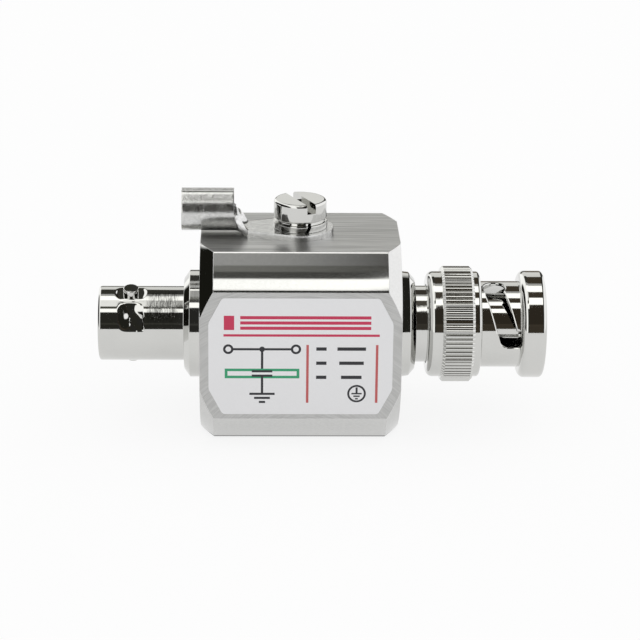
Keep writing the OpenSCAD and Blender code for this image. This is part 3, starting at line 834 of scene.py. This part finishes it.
class ARRESTOR_OT_housing(bpy.types.Operator):
    """Square bar, trimmed by a turned bar, bored for the connectors, the gas tube and the screw"""
    bl_idname = "arrestor.housing"
    bl_label = "Housing"

    def execute(self, context):
        s = context.scene.arrestor_housing
        half = (housing_high.x - housing_low.x) / 2
        side = housing_high.z - housing_low.z
        radius = math.hypot(side, s.flat_width) / 2
        end = radius - s.end_chamfer
        block = box("housing_milled", housing_low, housing_high)
        bar = turned_x("turned_bar", [
            (-half, 0), (-half, end), (-half + s.end_chamfer, radius),
            (half - s.end_chamfer, radius), (half, end), (half, 0)], closed=False, steps=256)
        combine(block, bar, "INTERSECT")
        block.data.materials.clear()
        block.data.materials.append(None)
        block.data.materials.append(None)
        clean_cuts(block, TRIM_MERGE, TRIM_MERGE)
        # The edges are rounded before the bores, whose small edges would stop them, and the foot's stay
        # plain.
        # The rounded edges' lighter finish is partly worn metal and partly a painted highlight
        bevel_edges(block, s.edge_round, math.radians(28), slot=1)
        # The foot's rounded edges keep the satin finish, so that its painted contact shadow darkens them too
        for polygon in block.data.polygons:
            if polygon.center.z < 2 * s.edge_round:
                polygon.material_index = 0
        inner = half - s.port_depth
        port = s.port_bore / 2
        chamber = s.chamber_bore / 2
        line = turned_x("line_bore", [
            (-half - PAST, 0), (-half - PAST, port), (-inner, port), (-inner, chamber), (inner, chamber),
            (inner, port), (half + PAST, port), (half + PAST, 0)], closed=False, steps=96)
        combine(block, line, "DIFFERENCE")
        cap = s.cap_bore / 2
        tube = s.tube_bore / 2
        below = turned_z("tube_hole", [
            (0, -PAST), (cap, -PAST), (cap, cap_high.z), (tube, cap_high.z), (tube, axis_z), (0, axis_z)],
            steps=96)
        combine(block, below, "DIFFERENCE")
        floor = top_z - s.tapped_depth
        tapped = s.tapped_hole / 2
        above = turned_z("tapped", [
            (0, floor), (tapped, floor), (tapped, top_z + PAST), (0, top_z + PAST)], steps=64)
        combine(block, above, "DIFFERENCE")
        clean_cuts(block, CUT_MERGE, CUT_SPECK)
        finish = satin_plating("satin_housing_finish", s.metal)
        # Lighter, rougher metal on the rounded edges: worn edges, and a painted highlight along them
        painted_light = bright_nickel("worn_highlit_edge_finish", s.edge_metal, ((900, 900, 900), 0.001 * MM), roughness=0.42)
        dress(block, finish, "arrestor", "housing", edge=painted_light)
        return {"FINISHED"}


class ARRESTOR_OT_label(bpy.types.Operator):
    """Foil label with cut and rounded corners"""
    bl_idname = "arrestor.label"
    bl_label = "Label"

    def execute(self, context):
        s = context.scene.arrestor_label
        middle = (label_low + label_high) / 2
        half_x = (label_high.x - label_low.x) / 2
        half_z = (label_high.z - label_low.z) / 2
        corners = []
        for side, up in ((1, 1), (1, -1), (-1, -1), (-1, 1)):
            ends = [
                Vector((middle.x + side * (half_x - s.corner_width), label_high.y, middle.z + up * half_z)),
                Vector((middle.x + side * half_x, label_high.y, middle.z + up * (half_z - s.corner_height)))]
            corners += ends if side == up else reversed(ends)
        label = draw_outline("label_printed", corners + [corners[0]])
        merge_doubles()
        bpy.ops.mesh.edge_face_add()
        bpy.ops.mesh.select_all(action="SELECT")
        bpy.ops.mesh.bevel(offset=s.corner_round, segments=6, affect="VERTICES")
        bpy.ops.mesh.select_all(action="SELECT")
        thickness = label_high.y - label_low.y
        bpy.ops.mesh.extrude_region_move(TRANSFORM_OT_translate={"value": (0, -thickness, 0)})
        close_mesh()
        settle(label)
        dress(label, printed_foil(s), "arrestor", "label")
        return {"FINISHED"}


class ARRESTOR_OT_jack(bpy.types.Operator):
    """Turned flange and barrel with a milled band and two bayonet lugs"""
    bl_idname = "arrestor.jack"
    bl_label = "Jack"

    def execute(self, context):
        s = context.scene.arrestor_jack
        mouth = jack_low.x
        port = housing_low.x
        face = port - s.flange_length
        flange = (jack_high.z - jack_low.z) / 2
        barrel = s.barrel_diameter / 2
        bore = s.barrel_bore / 2
        spigot = s.spigot_diameter / 2
        insulator = s.insulator_bore / 2
        back = mouth + s.bore_depth
        lug_x = mouth + s.lug_setback
        columns = 48
        first = lug_x - s.spot_diameter / 2
        band_points = [(first + s.spot_diameter * i / columns, barrel) for i in range(columns + 1)]
        countersink = 0.3 * MM
        outline = [(mouth, bore + countersink)]
        outline += arc(mouth + s.mouth_round, barrel - s.mouth_round, s.mouth_round, 180, 90)
        outline += band_points
        outline += [
            (face, barrel), (face, flange - s.chamfer_depth), (face + s.flange_chamfer, flange),
            (port, flange), (port, spigot), (jack_high.x, spigot), (jack_high.x, insulator),
            (back, insulator), (back, bore), (mouth + countersink, bore)]
        shell = turned_x("jack_turned", soften(outline, TURNED_EDGE), steps=224)
        self.mill_band(shell, lug_x, s)
        lug = self.lug(s)
        second = copy_piece(lug)
        turn_to_clock(lug, s.lug_angle, lug_x)
        turn_to_clock(second, s.lug_angle + math.pi, lug_x)
        combine(shell, lug, "UNION")
        combine(shell, second, "UNION")
        stretch = (lug_x + s.spot_diameter / 2 - 0.3 * MM, face - 0.2 * MM)
        finish = bright_nickel("jack_nickel", s.metal, ((2600, 500, 500), 0.0012 * MM), chatter=stretch)
        dress(shell, finish, "arrestor", "jack_shell")
        return {"FINISHED"}

    def mill_band(self, shell, lug_x, s):
        """A spot face round each lug and a flat beside it, with soft, uneven edges.

        The flat runs out gently on the left, the more so lower down, and more and more abruptly on the right.
        """
        barrel = s.barrel_diameter / 2
        step = TURN / s.flat_count
        reach = s.spot_diameter / 2
        skin = 0.01 * MM
        softness = 0.02 * MM
        waviness = 0.03 * MM
        wave_size = 0.9 * MM
        spot_run_out = 0.4 * MM
        left_run_out = (1.3 * MM, 2.2 * MM)
        right_run_out = (1.2 * MM, 0.12 * MM)
        for vertex in shell.data.vertices:
            clock, radius = clock_of(vertex.co)
            along = vertex.co.x - lug_x
            if abs(along) > reach or radius < barrel - skin:
                continue
            number = round((clock - s.lug_angle) / step)
            across = clock - s.lug_angle - number * step
            uneven = noise.noise(Vector((along, clock * barrel, 0)) / wave_size)
            kind = number % (s.flat_count // 2)
            if kind == 0:
                depth = s.spot_depth
                run_out = spot_run_out
                inside = reach - math.hypot(along, barrel * math.sin(across))
            elif kind == 1:
                lower = clamp((across + 0.2) / 0.25)
                upper_run, lower_run = left_run_out if along < 0 else right_run_out
                depth = s.flat_depth
                run_out = upper_run + (lower_run - upper_run) * lower
                inside = s.flat_width / 2 * (1 + (0.15 * uneven if along < 0 else 0)) - abs(along)
            else:
                continue
            ramp = clamp(inside / run_out)
            if kind == 0 or along < 0:
                ramp = ease(ramp)
            gap = barrel - (barrel - depth) / math.cos(across)
            milled = (gap + math.sqrt(gap * gap + softness * softness)) / 2
            milled = max(0.0, milled + waviness * uneven) * ramp
            vertex.co = clock_point(vertex.co.x, clock, barrel - milled)

    def lug(self, s):
        """One lug along +Z."""
        radius = s.lug_diameter / 2
        top = s.lug_span / 2
        edge = 0.12 * MM
        root = s.barrel_bore / 2 + 0.2 * MM
        outline = [(0, top), (radius - edge, top)]
        outline += arc(radius - edge, top - edge, edge, 90, 0, 4)
        outline += [(radius, root), (0, root)]
        return turned_z("bayonet_lug", outline, steps=48)


class ARRESTOR_OT_plug(bpy.types.Operator):
    """Turned plug body and its slotted outer contact"""
    bl_idname = "arrestor.plug"
    bl_label = "Plug"

    def execute(self, context):
        s = context.scene.arrestor_plug
        jack = context.scene.arrestor_jack
        port = housing_high.x
        face = port + jack.flange_length
        flange = (plug_high.z - plug_low.z) / 2
        front = plug_high.x
        shoulder = front - s.shoulder_length
        neck = s.neck_diameter / 2
        seat = front - s.seat_depth
        bore = s.bore / 2
        spigot = jack.spigot_diameter / 2
        outline = [
            (plug_low.x, bore), (plug_low.x, spigot), (port, spigot), (port, flange),
            (face - jack.flange_chamfer, flange - s.rim_taper), (face, flange - jack.chamfer_depth),
            (face, neck), (shoulder, neck), (shoulder, s.shoulder_diameter / 2),
            (front, s.shoulder_diameter / 2), (front, s.seat_diameter / 2), (seat, s.seat_diameter / 2),
            (seat, bore)]
        body = turned_x("plug_turned", soften(outline, 0.06 * MM))
        finish = bright_nickel("plug_nickel", jack.metal, ((2400, 300, 300), 0.0008 * MM))
        dress(body, finish, "arrestor", "plug_body")

        outer = (sleeve_high.z - sleeve_low.z) / 2
        edge = s.contact_wall / 2
        tip = sleeve_high.x
        outline = [(sleeve_low.x, outer - s.contact_wall), (sleeve_low.x, outer)]
        outline += arc(tip - edge, outer - edge, edge, 90, -90, 8)
        sleeve = turned_x("contact_sleeve", hold(outline))
        nut = context.scene.arrestor_nut
        half = s.contact_slot / 2
        reach = 2 * outer
        for quarter in range(2):
            low = (tip - s.slot_length, -half, -reach)
            cutter = box("contact_slot", low, (tip + s.slot_length, half, reach))
            turn_to_clock(cutter, nut.lock_angle + nut.slot_turn + quarter * math.pi / 2, 0)
            combine(sleeve, cutter, "DIFFERENCE")
        dress(sleeve, finish, "arrestor", "plug_outer_contact")
        return {"FINISHED"}


class ARRESTOR_OT_coupling_nut(bpy.types.Operator):
    """Turned nut with its knurl, helical slots, locking holes and keyways, and the wave spring in it"""
    bl_idname = "arrestor.coupling_nut"
    bl_label = "Coupling nut"

    def execute(self, context):
        s = context.scene.arrestor_nut
        nut = self.turning(s)
        for cutter in (self.slot, self.keyway):
            for turn in (0, math.pi):
                combine(nut, cutter(s, s.lock_angle + turn), "DIFFERENCE")
        clean_cuts(nut, CUT_MERGE, CUT_SPECK)
        metal = context.scene.arrestor_jack.metal
        finish = bright_nickel("nut_nickel", metal, ((1800, 260, 260), 0.0008 * MM))
        dress(nut, finish, "coupling", "coupling_nut", smooth=CLOSE_SMOOTH_ANGLE)
        self.wave_spring(finish)
        return {"FINISHED"}

    def turning(self, s):
        """The nut before it is slotted, with its knurl."""
        rear = nut_low.x
        front = nut_high.x
        collar = s.collar_diameter / 2
        sleeve = s.sleeve_diameter / 2
        ring = s.ring_diameter / 2
        ring_x = front - s.ring_length
        bore = s.bore / 2
        relieved = s.relief / 2
        cavity = s.cavity_bore / 2
        collar_end = rear + s.collar_length
        collar_round = 0.4 * MM
        ring_rear = 0.85 * MM
        ring_front = 0.5 * MM
        countersink = 0.35 * MM
        relief_run = 0.4 * MM
        seat = rear + s.seat_place
        outline = [(collar_end - collar_round - HOLD_GAP, collar)]
        outline += arc(collar_end - collar_round, collar - collar_round, collar_round, 90, 0)
        outline += [(collar_end, sleeve), (ring_x, sleeve)]
        outline += arc(ring_x + ring_rear, ring - ring_rear, ring_rear, 180, 90)
        outline += arc(front - ring_front, ring - ring_front, ring_front, 90, 0)
        outline += [
            (front, bore + countersink), (front - countersink, bore), (ring_x, bore),
            (ring_x - relief_run, relieved), (seat + relief_run, relieved), (seat, bore), (seat, cavity),
            (rear + s.lip, cavity), (rear + s.lip, s.lip_bore / 2), (rear, s.lip_bore / 2)]
        outline += arc(rear + s.lip, collar - s.lip, s.lip, 180, 90)
        outline = soften(outline, TURNED_EDGE, closed=False)
        knurl = s.knurl_diameter / 2
        start = rear + s.knurl_start
        end = start + s.knurl_length
        slope = 0.33 * MM
        outline += [
            (rear + s.lip + HOLD_GAP, collar), (start, collar), (start, knurl - slope),
            (start + slope, knurl), (end - slope, knurl), (end, knurl - slope), (end, collar)]
        nut = turned_x("nut_turned", outline, steps=KNURL_POINTS * s.knurl_teeth)
        self.knurl(nut, s)
        return nut

    def knurl(self, nut, s):
        """Draws in some points of each tooth, so that the teeth are rounded and the grooves sharp."""
        outer = s.knurl_diameter / 2
        crest = outer - 0.001 * MM
        step = TURN / (KNURL_POINTS * s.knurl_teeth)
        for drop, members in ((1.0, (0,)), (0.3, (1, 5)), (0.06, (2, 4))):

            def lies_there(place):
                clock, radius = clock_of(place)
                return radius > crest and round(clock / step) % KNURL_POINTS in members

            select_vertices(nut, lies_there)
            inward = (outer - drop * s.knurl_depth) / outer
            bpy.ops.transform.resize(value=(1, inward, inward), center_override=(0, 0, axis_z))
        close_mesh()

    def slot_edges(self, s, grow):
        """The slot rolled out flat: places round the sleeve, each with the slot's rear and front edge."""
        radius = s.sleeve_diameter / 2
        lock_x = nut_high.x - s.lock_setback
        lock = s.lock_diameter / 2 + grow
        half = s.slot_width / 2 + grow
        run = s.slot_turn * radius
        slope = s.slot_rise / run
        half_run = half * math.sqrt(1 + slope * slope)
        run_x = lock_x - s.lock_drop
        corner_x = run_x + s.slot_rise
        overlap = 0.03 * MM
        ring_x = nut_high.x - s.ring_length + overlap
        jump = run - half
        step = 0.05 * MM
        blunt = math.radians(6)

        def edges(t):
            low, high = 1.0, -1.0
            if abs(t) < lock:
                bow = math.sqrt(lock * lock - t * t)
                low, high = lock_x - bow, lock_x + bow
            if 0 <= t <= run:
                low += (min(low, run_x + slope * t - half_run) - low) * min(1, t / lock)
                high = max(high, run_x + slope * t + half_run)
            if t > jump:
                high = ring_x
            if t > run:
                low = corner_x - math.sqrt(half * half - (t - run) ** 2)
            return low, high

        quarter = math.pi / 2 - blunt
        places = [-lock * math.cos(blunt + quarter * i / 10) for i in range(10)]
        places += [jump * i / 40 for i in range(41)]
        places += [jump + step + (half - step) * i / 8 for i in range(9)]
        places += [run + half * math.sin(quarter * i / 10) for i in range(1, 11)]
        return [(t, *edges(t)) for t in places]

    def slot(self, s, lock_clock):
        """Cutter for a locking hole, its helical run and the way in, flared where it leaves the sleeve.

        Each layer gives a radius and how far the slot's edges stand off there. Two facets break the rim.
        """
        radius = s.sleeve_diameter / 2
        rim = s.slot_rim
        wide = 1.28 * rim
        layers = [
            (radius - 1.3 * MM, 0), (radius - 0.8 * rim, 0), (radius - 0.24 * rim, 0.37 * rim),
            (radius + 0.1 * rim, wide), (radius + 0.5 * MM, wide)]
        walls = []
        for height, grow in layers:
            places = self.slot_edges(s, grow)
            rear = [clock_point(low, lock_clock + t / radius, height) for t, low, high in places]
            front = [clock_point(high, lock_clock + t / radius, height) for t, low, high in places]
            walls.insert(len(walls) // 2, rear)
            walls.insert(len(walls) // 2 + 1, front)
        walls.append(walls[0])
        columns = len(walls[0]) - 1
        rows = len(walls) - 1
        for vertex, u, v in grid("slot_cutter", columns, rows):
            vertex.co = walls[round(v * rows)][round(u * columns)]
        cutter = bpy.context.object
        bpy.ops.object.mode_set(mode="EDIT")
        merge_doubles()
        bpy.ops.mesh.fill_holes(sides=0)
        bpy.ops.mesh.select_all(action="SELECT")
        bpy.ops.mesh.quads_convert_to_tris()
        close_mesh()
        return cutter

    def keyway(self, s, lock_clock):
        """Cutter for the way in under the front ring, a little narrower than the slot that it opens into."""
        inset = 0.08 * MM
        overlap = 0.05 * MM
        inside = 4 * MM
        half = s.slot_width / 2 - inset
        start = nut_high.x - s.ring_length - overlap
        cutter = box("keyway", (start, -half, inside), (nut_high.x + PAST, half, s.keyway_reach))
        turn_to_clock(cutter, lock_clock + s.slot_turn, 0)
        return cutter

    def wave_spring(self, finish):
        """A flat ring that rises and falls three times round the axis."""
        waves = 3
        sheet = 0.25 * MM
        inner = 5.15 * MM
        outer = (wave_high.z - wave_low.z) / 2
        middle = (wave_high.x + wave_low.x) / 2
        swing = (wave_high.x - wave_low.x - sheet) / 2
        ring = turned_x("wave_ring", soften([
            (middle - sheet / 2, inner), (middle - sheet / 2, outer), (middle + sheet / 2, outer),
            (middle + sheet / 2, inner)], TURNED_EDGE), steps=96)
        for vertex in ring.data.vertices:
            clock, radius = clock_of(vertex.co)
            vertex.co.x += swing * math.cos(waves * (clock - math.pi))
        dress(ring, finish, "arrestor", "wave_spring")
        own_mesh(ring)


class ARRESTOR_OT_earth_lug(bpy.types.Operator):
    """Cable lug formed from one sheet: ring tongue, throat and rolled barrel"""
    bl_idname = "arrestor.earth_lug"
    bl_label = "Earth lug"

    def execute(self, context):
        s = context.scene.arrestor_earth
        lug = self.sheet(s)
        apply_modifier(lug, "SOLIDIFY", thickness=s.sheet, offset=0)
        bpy.ops.object.mode_set(mode="EDIT")
        close_mesh()
        for vertex in lug.data.vertices:
            vertex.co.z = max(vertex.co.z, top_z)
        hole = s.lug_hole / 2
        low = top_z - PAST
        high = top_z + 2 * PAST
        cutter = turned_z("lug_hole", [(0, low), (hole, low), (hole, high), (0, high)], steps=64)
        combine(lug, cutter, "DIFFERENCE")
        bevel_edges(lug, 0.1 * MM, math.radians(50))
        dress(lug, tinned("tinned_lug_finish", s.tin), "lug", "earth_lug")
        return {"FINISHED"}

    def sheet(self, s):
        """The middle surface of the sheet: a tube, joined at its lower half to a tongue that flattens out."""
        half = s.sheet / 2
        start = lug_low.x
        end = start + s.barrel_length
        radius = s.barrel_diameter / 2 - half
        centre_z = top_z + s.barrel_rise + s.barrel_diameter / 2
        divisions = 48
        barrel_columns = 24
        tongue_columns = 72
        seam_gap = 0.01 * MM
        for vertex, u, v in grid("lug_formed", barrel_columns, divisions):
            turn = (v - 0.5) * TURN
            place = start + (end - start) * u
            vertex.co = self.barrel_point(place, turn, radius, centre_z)
        barrel = bpy.context.object
        flat_z = top_z + half
        for vertex, u, v in grid("lug_tongue", tongue_columns, divisions // 2):
            vertex.co = self.tongue_point(u, 2 * v - 1, end, radius, centre_z, flat_z, s)
        tongue = bpy.context.object
        activate(barrel)
        tongue.select_set(True)
        bpy.ops.object.join()
        bpy.ops.object.mode_set(mode="EDIT")
        close_mesh(seam_gap)
        return bpy.context.object

    def barrel_point(self, place, turn, radius, centre_z):
        """Round the barrel from the bottom. The seam at the top is a shallow valley between two swellings."""
        from_top = math.degrees(math.pi - abs(turn))
        valley = -0.14 * MM * math.exp(-(from_top / 9) ** 2)
        swelling = 0.12 * MM * math.exp(-((from_top - 20) / 8) ** 2)
        r = radius + valley + swelling
        return Vector((place, r * math.sin(turn), centre_z - r * math.cos(turn)))

    def tongue_point(self, u, v, start, radius, centre_z, flat_z, s):
        """From the barrel's lower half out to the ring, flattening on the way."""
        ring = s.tongue_diameter / 2
        neck = s.neck_width / 2
        throat = 1.8 * MM
        share_curled = 0.3
        flat_enough = 0.02
        if u <= share_curled:
            along = u / share_curled
            place = start + throat * along
            flatness = ease(along)
            curl = (math.pi / 2) * (1 - flatness)
            narrowing = (1 - along) ** 1.6
            half_width = radius * (math.pi / 2) * narrowing + neck * (1 - narrowing)
            low = (centre_z - radius) * (1 - flatness) + flat_z * flatness
            if curl < flat_enough:
                return Vector((place, half_width * v, low))
            bend = half_width / curl
            turn = curl * v
            return Vector((place, bend * math.sin(turn), low + bend * (1 - math.cos(turn))))
        along = (u - share_curled) / (1 - share_curled)
        first = start + throat
        touch = math.atan2(neck, first) - math.acos(ring / math.hypot(first, neck))
        touch_x = ring * math.cos(touch)
        place = first + (ring - first) * along
        if place < touch_x:
            touch_y = abs(ring * math.sin(touch))
            half_width = neck + (touch_y - neck) * (place - first) / (touch_x - first)
        else:
            half_width = math.sqrt(max(ring * ring - place * place, 0))
        return Vector((place, half_width * v, flat_z))


class ARRESTOR_OT_earth_screw(bpy.types.Operator):
    """Slotted cheese-head screw with a cut thread, and its spring washer"""
    bl_idname = "arrestor.earth_screw"
    bl_label = "Earth screw and washer"

    def execute(self, context):
        s = context.scene.arrestor_earth
        metal = context.scene.arrestor_jack.metal
        finish = bright_nickel("screw_nickel", metal, ((500, 500, 1500), 0.0006 * MM))
        screw = self.turning(s)
        reach = 5 * MM
        half = s.driver_width / 2
        low = (-reach, -half, screw_high.z - s.driver_depth)
        slot = box("driver_slot", low, (reach, half, screw_high.z + reach))
        slot.rotation_euler = (0, 0, s.driver_angle)
        settle(slot)
        combine(screw, slot, "DIFFERENCE")
        bevel_edges(screw, 0.06 * MM, math.radians(60))
        combine(screw, self.thread(s), "UNION")
        dress(screw, finish, "screw", "earth_screw", smooth=CLOSE_SMOOTH_ANGLE)
        washer = self.washer(s)
        dress(washer, finish, "screw_washer", "spring_washer")
        return {"FINISHED"}

    def turning(self, s):
        """Head and core of the screw, before its slot and thread."""
        head = (screw_high.x - screw_low.x) / 2
        under = screw_high.z - s.head_height
        core = s.shank_diameter / 2 - s.thread_depth
        point = 0.5 * MM
        foot = 0.15 * MM
        outline = [
            (0, screw_low.z), (core - point / 2, screw_low.z), (core, screw_low.z + point), (core, under),
            (head - foot, under), (head, under + foot)]
        edge = s.head_chamfer
        outline += arc(head - edge, screw_high.z - edge, edge, 12, 78)
        outline.append((0, screw_high.z))
        return turned_z("screw_turned", soften(outline, 0.08 * MM, closed=False))

    def thread(self, s):
        """A V-shaped ridge that the Screw modifier winds round the shank."""
        outer = s.shank_diameter / 2
        core = outer - s.thread_depth
        pitch = s.thread_pitch
        crest = pitch / 8
        turns = 7
        steps = 48
        bottom = screw_low.z + 0.25 * MM
        middle = bottom + pitch * 0.4
        embed = 0.25 * MM
        profile = [
            (core - embed, bottom), (core - embed, bottom + pitch * 0.8), (outer, middle + crest / 2),
            (outer, middle - crest / 2)]
        points = [Vector((r, 0, z)) for r, z in profile]
        ridge = draw_outline("screw_thread", points + [points[0]])
        merge_doubles()
        bpy.ops.object.mode_set(mode="OBJECT")
        settle(ridge)
        apply_modifier(ridge, "SCREW", axis="Z", angle=TURN, screw_offset=pitch, iterations=turns,
                       steps=steps, render_steps=steps, use_merge_vertices=True, merge_threshold=MERGE_GAP)
        bpy.ops.object.mode_set(mode="EDIT")
        bpy.ops.mesh.select_all(action="SELECT")
        bpy.ops.mesh.fill_holes(sides=6)
        close_mesh()
        return ridge

    def washer(self, s):
        """A ring spun most of the way round, its split leaning, with a groove between rim and head."""
        outer = (washer_high.x - washer_low.x) / 2
        inner = s.washer_bore / 2
        low, high = washer_low.z, washer_high.z
        rim = high - s.washer_groove
        hub_inset = 0.25 * MM
        hub = (screw_high.x - screw_low.x) / 2 - hub_inset
        outline = soften([
            (inner, low), (outer, low), (outer, rim), (hub, rim), (hub, high), (inner, high)], 0.12 * MM)
        start = s.washer_split + s.washer_gap / 2
        points = [Vector((r * math.cos(start), r * math.sin(start), z)) for r, z in outline]
        washer = draw_outline("washer_sprung", points + [points[0]])
        merge_doubles()
        bpy.ops.mesh.spin(steps=120, angle=TURN - s.washer_gap, center=(0, 0, 0), axis=(0, 0, 1))
        bpy.ops.mesh.select_all(action="SELECT")
        bpy.ops.mesh.fill_holes(sides=40)
        close_mesh()
        settle(washer)
        lean = math.radians(9)
        middle = (low + high) / 2
        for vertex in washer.data.vertices:
            turn = lean * (vertex.co.z - middle) / (high - low)
            vertex.co = Matrix.Rotation(turn, 3, "Z") @ vertex.co
        return washer


class ARRESTOR_OT_line_parts(bpy.types.Operator):
    """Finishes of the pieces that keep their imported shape"""
    bl_idname = "arrestor.line_parts"
    bl_label = "Contacts, insulators and gas tube"

    def execute(self, context):
        metal = context.scene.arrestor_jack.metal
        nickel = bright_nickel("inner_nickel", metal, ((1200, 1200, 1200), 0.0006 * MM))
        gilt = plain_finish("gilt_contact_finish", (0.80, 0.56, 0.20), 0.16, metallic=1.0, height=0.002)
        white = plain_finish("white_insulator_finish", (0.82, 0.82, 0.78), 0.38)
        rubber = plain_finish("gasket_rubber_finish", (0.10, 0.10, 0.105), 0.62, height=0.008)
        ceramic = plain_finish("tube_ceramic_finish", (0.80, 0.78, 0.72), 0.34)
        finishes = (
            (nickel, ("thrust_washer", "disc_spring", "tube_cap", "gas_tube_upper_electrode",
                      "gas_tube_lower_electrode")),
            (gilt, ("socket_contact", "centre_conductor", "pin_contact")),
            (white, ("jack_insulator", "plug_insulator")),
            (rubber, ("plug_gasket",)),
            (ceramic, ("gas_tube_ceramic",)),
        )
        for finish, nodes in finishes:
            for node in nodes:
                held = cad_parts[node]
                held.data.materials.clear()
                held.data.materials.append(finish)
        return {"FINISHED"}


class ARRESTOR_OT_stage(bpy.types.Operator):
    """Camera, pale floor and soft studio light"""
    bl_idname = "arrestor.stage"
    bl_label = "Stage"

    def execute(self, context):
        s = context.scene.arrestor_stage
        context.scene.view_settings.view_transform = "Standard"
        self.camera(context, s)
        self.floor(s)
        self.light(context, s)
        return {"FINISHED"}

    def camera(self, context, s):
        clear_selection()
        bpy.ops.object.camera_add()
        camera = context.object
        camera.name = "photo_camera"
        camera.data.lens = s.lens
        camera.data.sensor_width = 36
        camera.data.clip_start = 10 * MM
        camera.data.clip_end = 20
        side = Vector((math.cos(s.yaw), math.sin(s.yaw), 0))
        ahead = Vector((-math.sin(s.yaw), math.cos(s.yaw), 0))
        up = ahead * math.sin(s.pitch) + Vector((0, 0, math.cos(s.pitch)))
        forward = ahead * math.cos(s.pitch) - Vector((0, 0, math.sin(s.pitch)))
        right = side * math.cos(s.roll) - up * math.sin(s.roll)
        top = side * math.sin(s.roll) + up * math.cos(s.roll)
        place = Vector(s.aim) - forward * s.distance
        camera.matrix_world = Matrix((
            (right.x, top.x, -forward.x, place.x),
            (right.y, top.y, -forward.y, place.y),
            (right.z, top.z, -forward.z, place.z),
            (0, 0, 0, 1)))
        context.scene.camera = camera

    def floor(self, s):
        """A pale floor that shows as an even tone to the camera and in reflections."""
        side = 6
        drop = 0.01 * MM
        camera_tone = 0.86
        mirrored_tone = 0.72
        clear_selection()
        bpy.ops.mesh.primitive_plane_add(size=side, location=(0, 0, housing_low.z - drop))
        floor = bpy.context.object
        floor.name = "studio_floor"
        material = bpy.data.materials.new("floor_white")
        material.use_nodes = True
        tree = material.node_tree
        tree.nodes.clear()
        root = Wire(tree)
        path = root.node("ShaderNodeLightPath")
        straight = path.either(path.other("Is Transmission Ray"))
        seen = (straight * camera_tone).either(path.other("Is Glossy Ray") * mirrored_tone)
        matt = root.node("ShaderNodeBsdfDiffuse", None, {"Color": opaque(s.floor_colour)})
        white = root.node("ShaderNodeEmission", None, {"Color": WHITE, "Strength": 1.0})
        shown = root.node("ShaderNodeMixShader", None, {0: seen, 1: matt, 2: white})
        end = tree.nodes.new("ShaderNodeOutputMaterial")
        tree.links.new(shown.socket, end.inputs[0])
        floor.data.materials.append(material)

    def light(self, context, s):
        """Even light all round for the matt finishes, and screens for what the metal reflects."""
        world = bpy.data.worlds.new("studio_light")
        context.scene.world = world
        world.use_nodes = True
        world.cycles.sampling_method = "NONE"
        tree = world.node_tree
        tree.nodes.clear()
        root = Wire(tree)
        ray = root.node("ShaderNodeTexCoord", output=0)
        dx, dy, dz = axes_of(ray)
        round_axis = dz.math("ARCTAN2", dz, 0 - dy) * (180 / math.pi)
        screens = self.bands(round_axis, dx)
        for end, begins, full, tone in SIDES:
            screens = mix_colours((dx * end).smooth(begins, full), screens, opaque(tone))
        to_camera = root.node("ShaderNodeLightPath")
        soft = opaque((s.light_level,) * 3)
        lit = mix_colours(to_camera.other("Is Glossy Ray"), soft, screens)
        seen = mix_colours(to_camera, lit, WHITE)
        sky = root.node("ShaderNodeBackground", None, {0: seen, 1: 1.0})
        end = tree.nodes.new("ShaderNodeOutputWorld")
        tree.links.new(sky.socket, end.inputs[0])

    def bands(self, degrees, sideways):
        """Light and dark screens, by angle round the coaxial axis from the front horizon over the top."""
        from_jack = sideways.smooth(-0.058, -0.025)
        to_nut = sideways.smooth(0.05, 0.085)
        fade = sideways.smooth(-0.01, 0.085)
        tone = opaque((SCREEN_FLOOR,) * 3)
        for (jack, housing, nut), (jack_tone, housing_tone, nut_tone) in SCREENS:
            place = jack + from_jack * (housing - jack) + to_nut * (nut - housing)
            level = jack_tone + from_jack * (housing_tone - jack_tone) + fade * (nut_tone - housing_tone)
            tones = (jack_tone, housing_tone, nut_tone)
            tints = [opaque(shadow if t < DARK else WARMTH) for t, shadow in zip(tones, SHADOWS)]
            tint = mix_colours(to_nut, mix_colours(from_jack, tints[0], tints[1]), tints[2])
            screen = mix_colours(level, BLACK, tint)
            tone = mix_colours((degrees - place).smooth(-1, 1), tone, screen)
        return tone


OPERATORS = (
    ARRESTOR_OT_housing,
    ARRESTOR_OT_label,
    ARRESTOR_OT_jack,
    ARRESTOR_OT_plug,
    ARRESTOR_OT_coupling_nut,
    ARRESTOR_OT_earth_lug,
    ARRESTOR_OT_earth_screw,
    ARRESTOR_OT_line_parts,
    ARRESTOR_OT_stage,
)


class ARRESTOR_PT_sidebar(bpy.types.Panel):
    """Lists the arrestor's pieces"""
    bl_idname = "ARRESTOR_PT_sidebar"
    bl_label = "Arrestor"
    bl_space_type = "VIEW_3D"
    bl_region_type = "UI"
    bl_category = "Arrestor"

    def draw(self, context):
        for operator in OPERATORS:
            self.layout.operator(operator.bl_idname)


def register():
    for name, group in SETTINGS:
        bpy.utils.register_class(group)
        setattr(bpy.types.Scene, name, bpy.props.PointerProperty(type=group))
    for operator in OPERATORS:
        bpy.utils.register_class(operator)
    bpy.utils.register_class(ARRESTOR_PT_sidebar)


def unregister():
    bpy.utils.unregister_class(ARRESTOR_PT_sidebar)
    for operator in reversed(OPERATORS):
        bpy.utils.unregister_class(operator)
    for name, group in reversed(SETTINGS):
        delattr(bpy.types.Scene, name)
        bpy.utils.unregister_class(group)


def main():
    register()
    bpy.ops.arrestor.housing()
    bpy.ops.arrestor.label()
    bpy.ops.arrestor.jack()
    bpy.ops.arrestor.plug()
    bpy.ops.arrestor.coupling_nut()
    bpy.ops.arrestor.earth_lug()
    bpy.ops.arrestor.earth_screw()
    bpy.ops.arrestor.line_parts()
    bpy.ops.arrestor.stage()


if __name__ == "__main__":
    main()
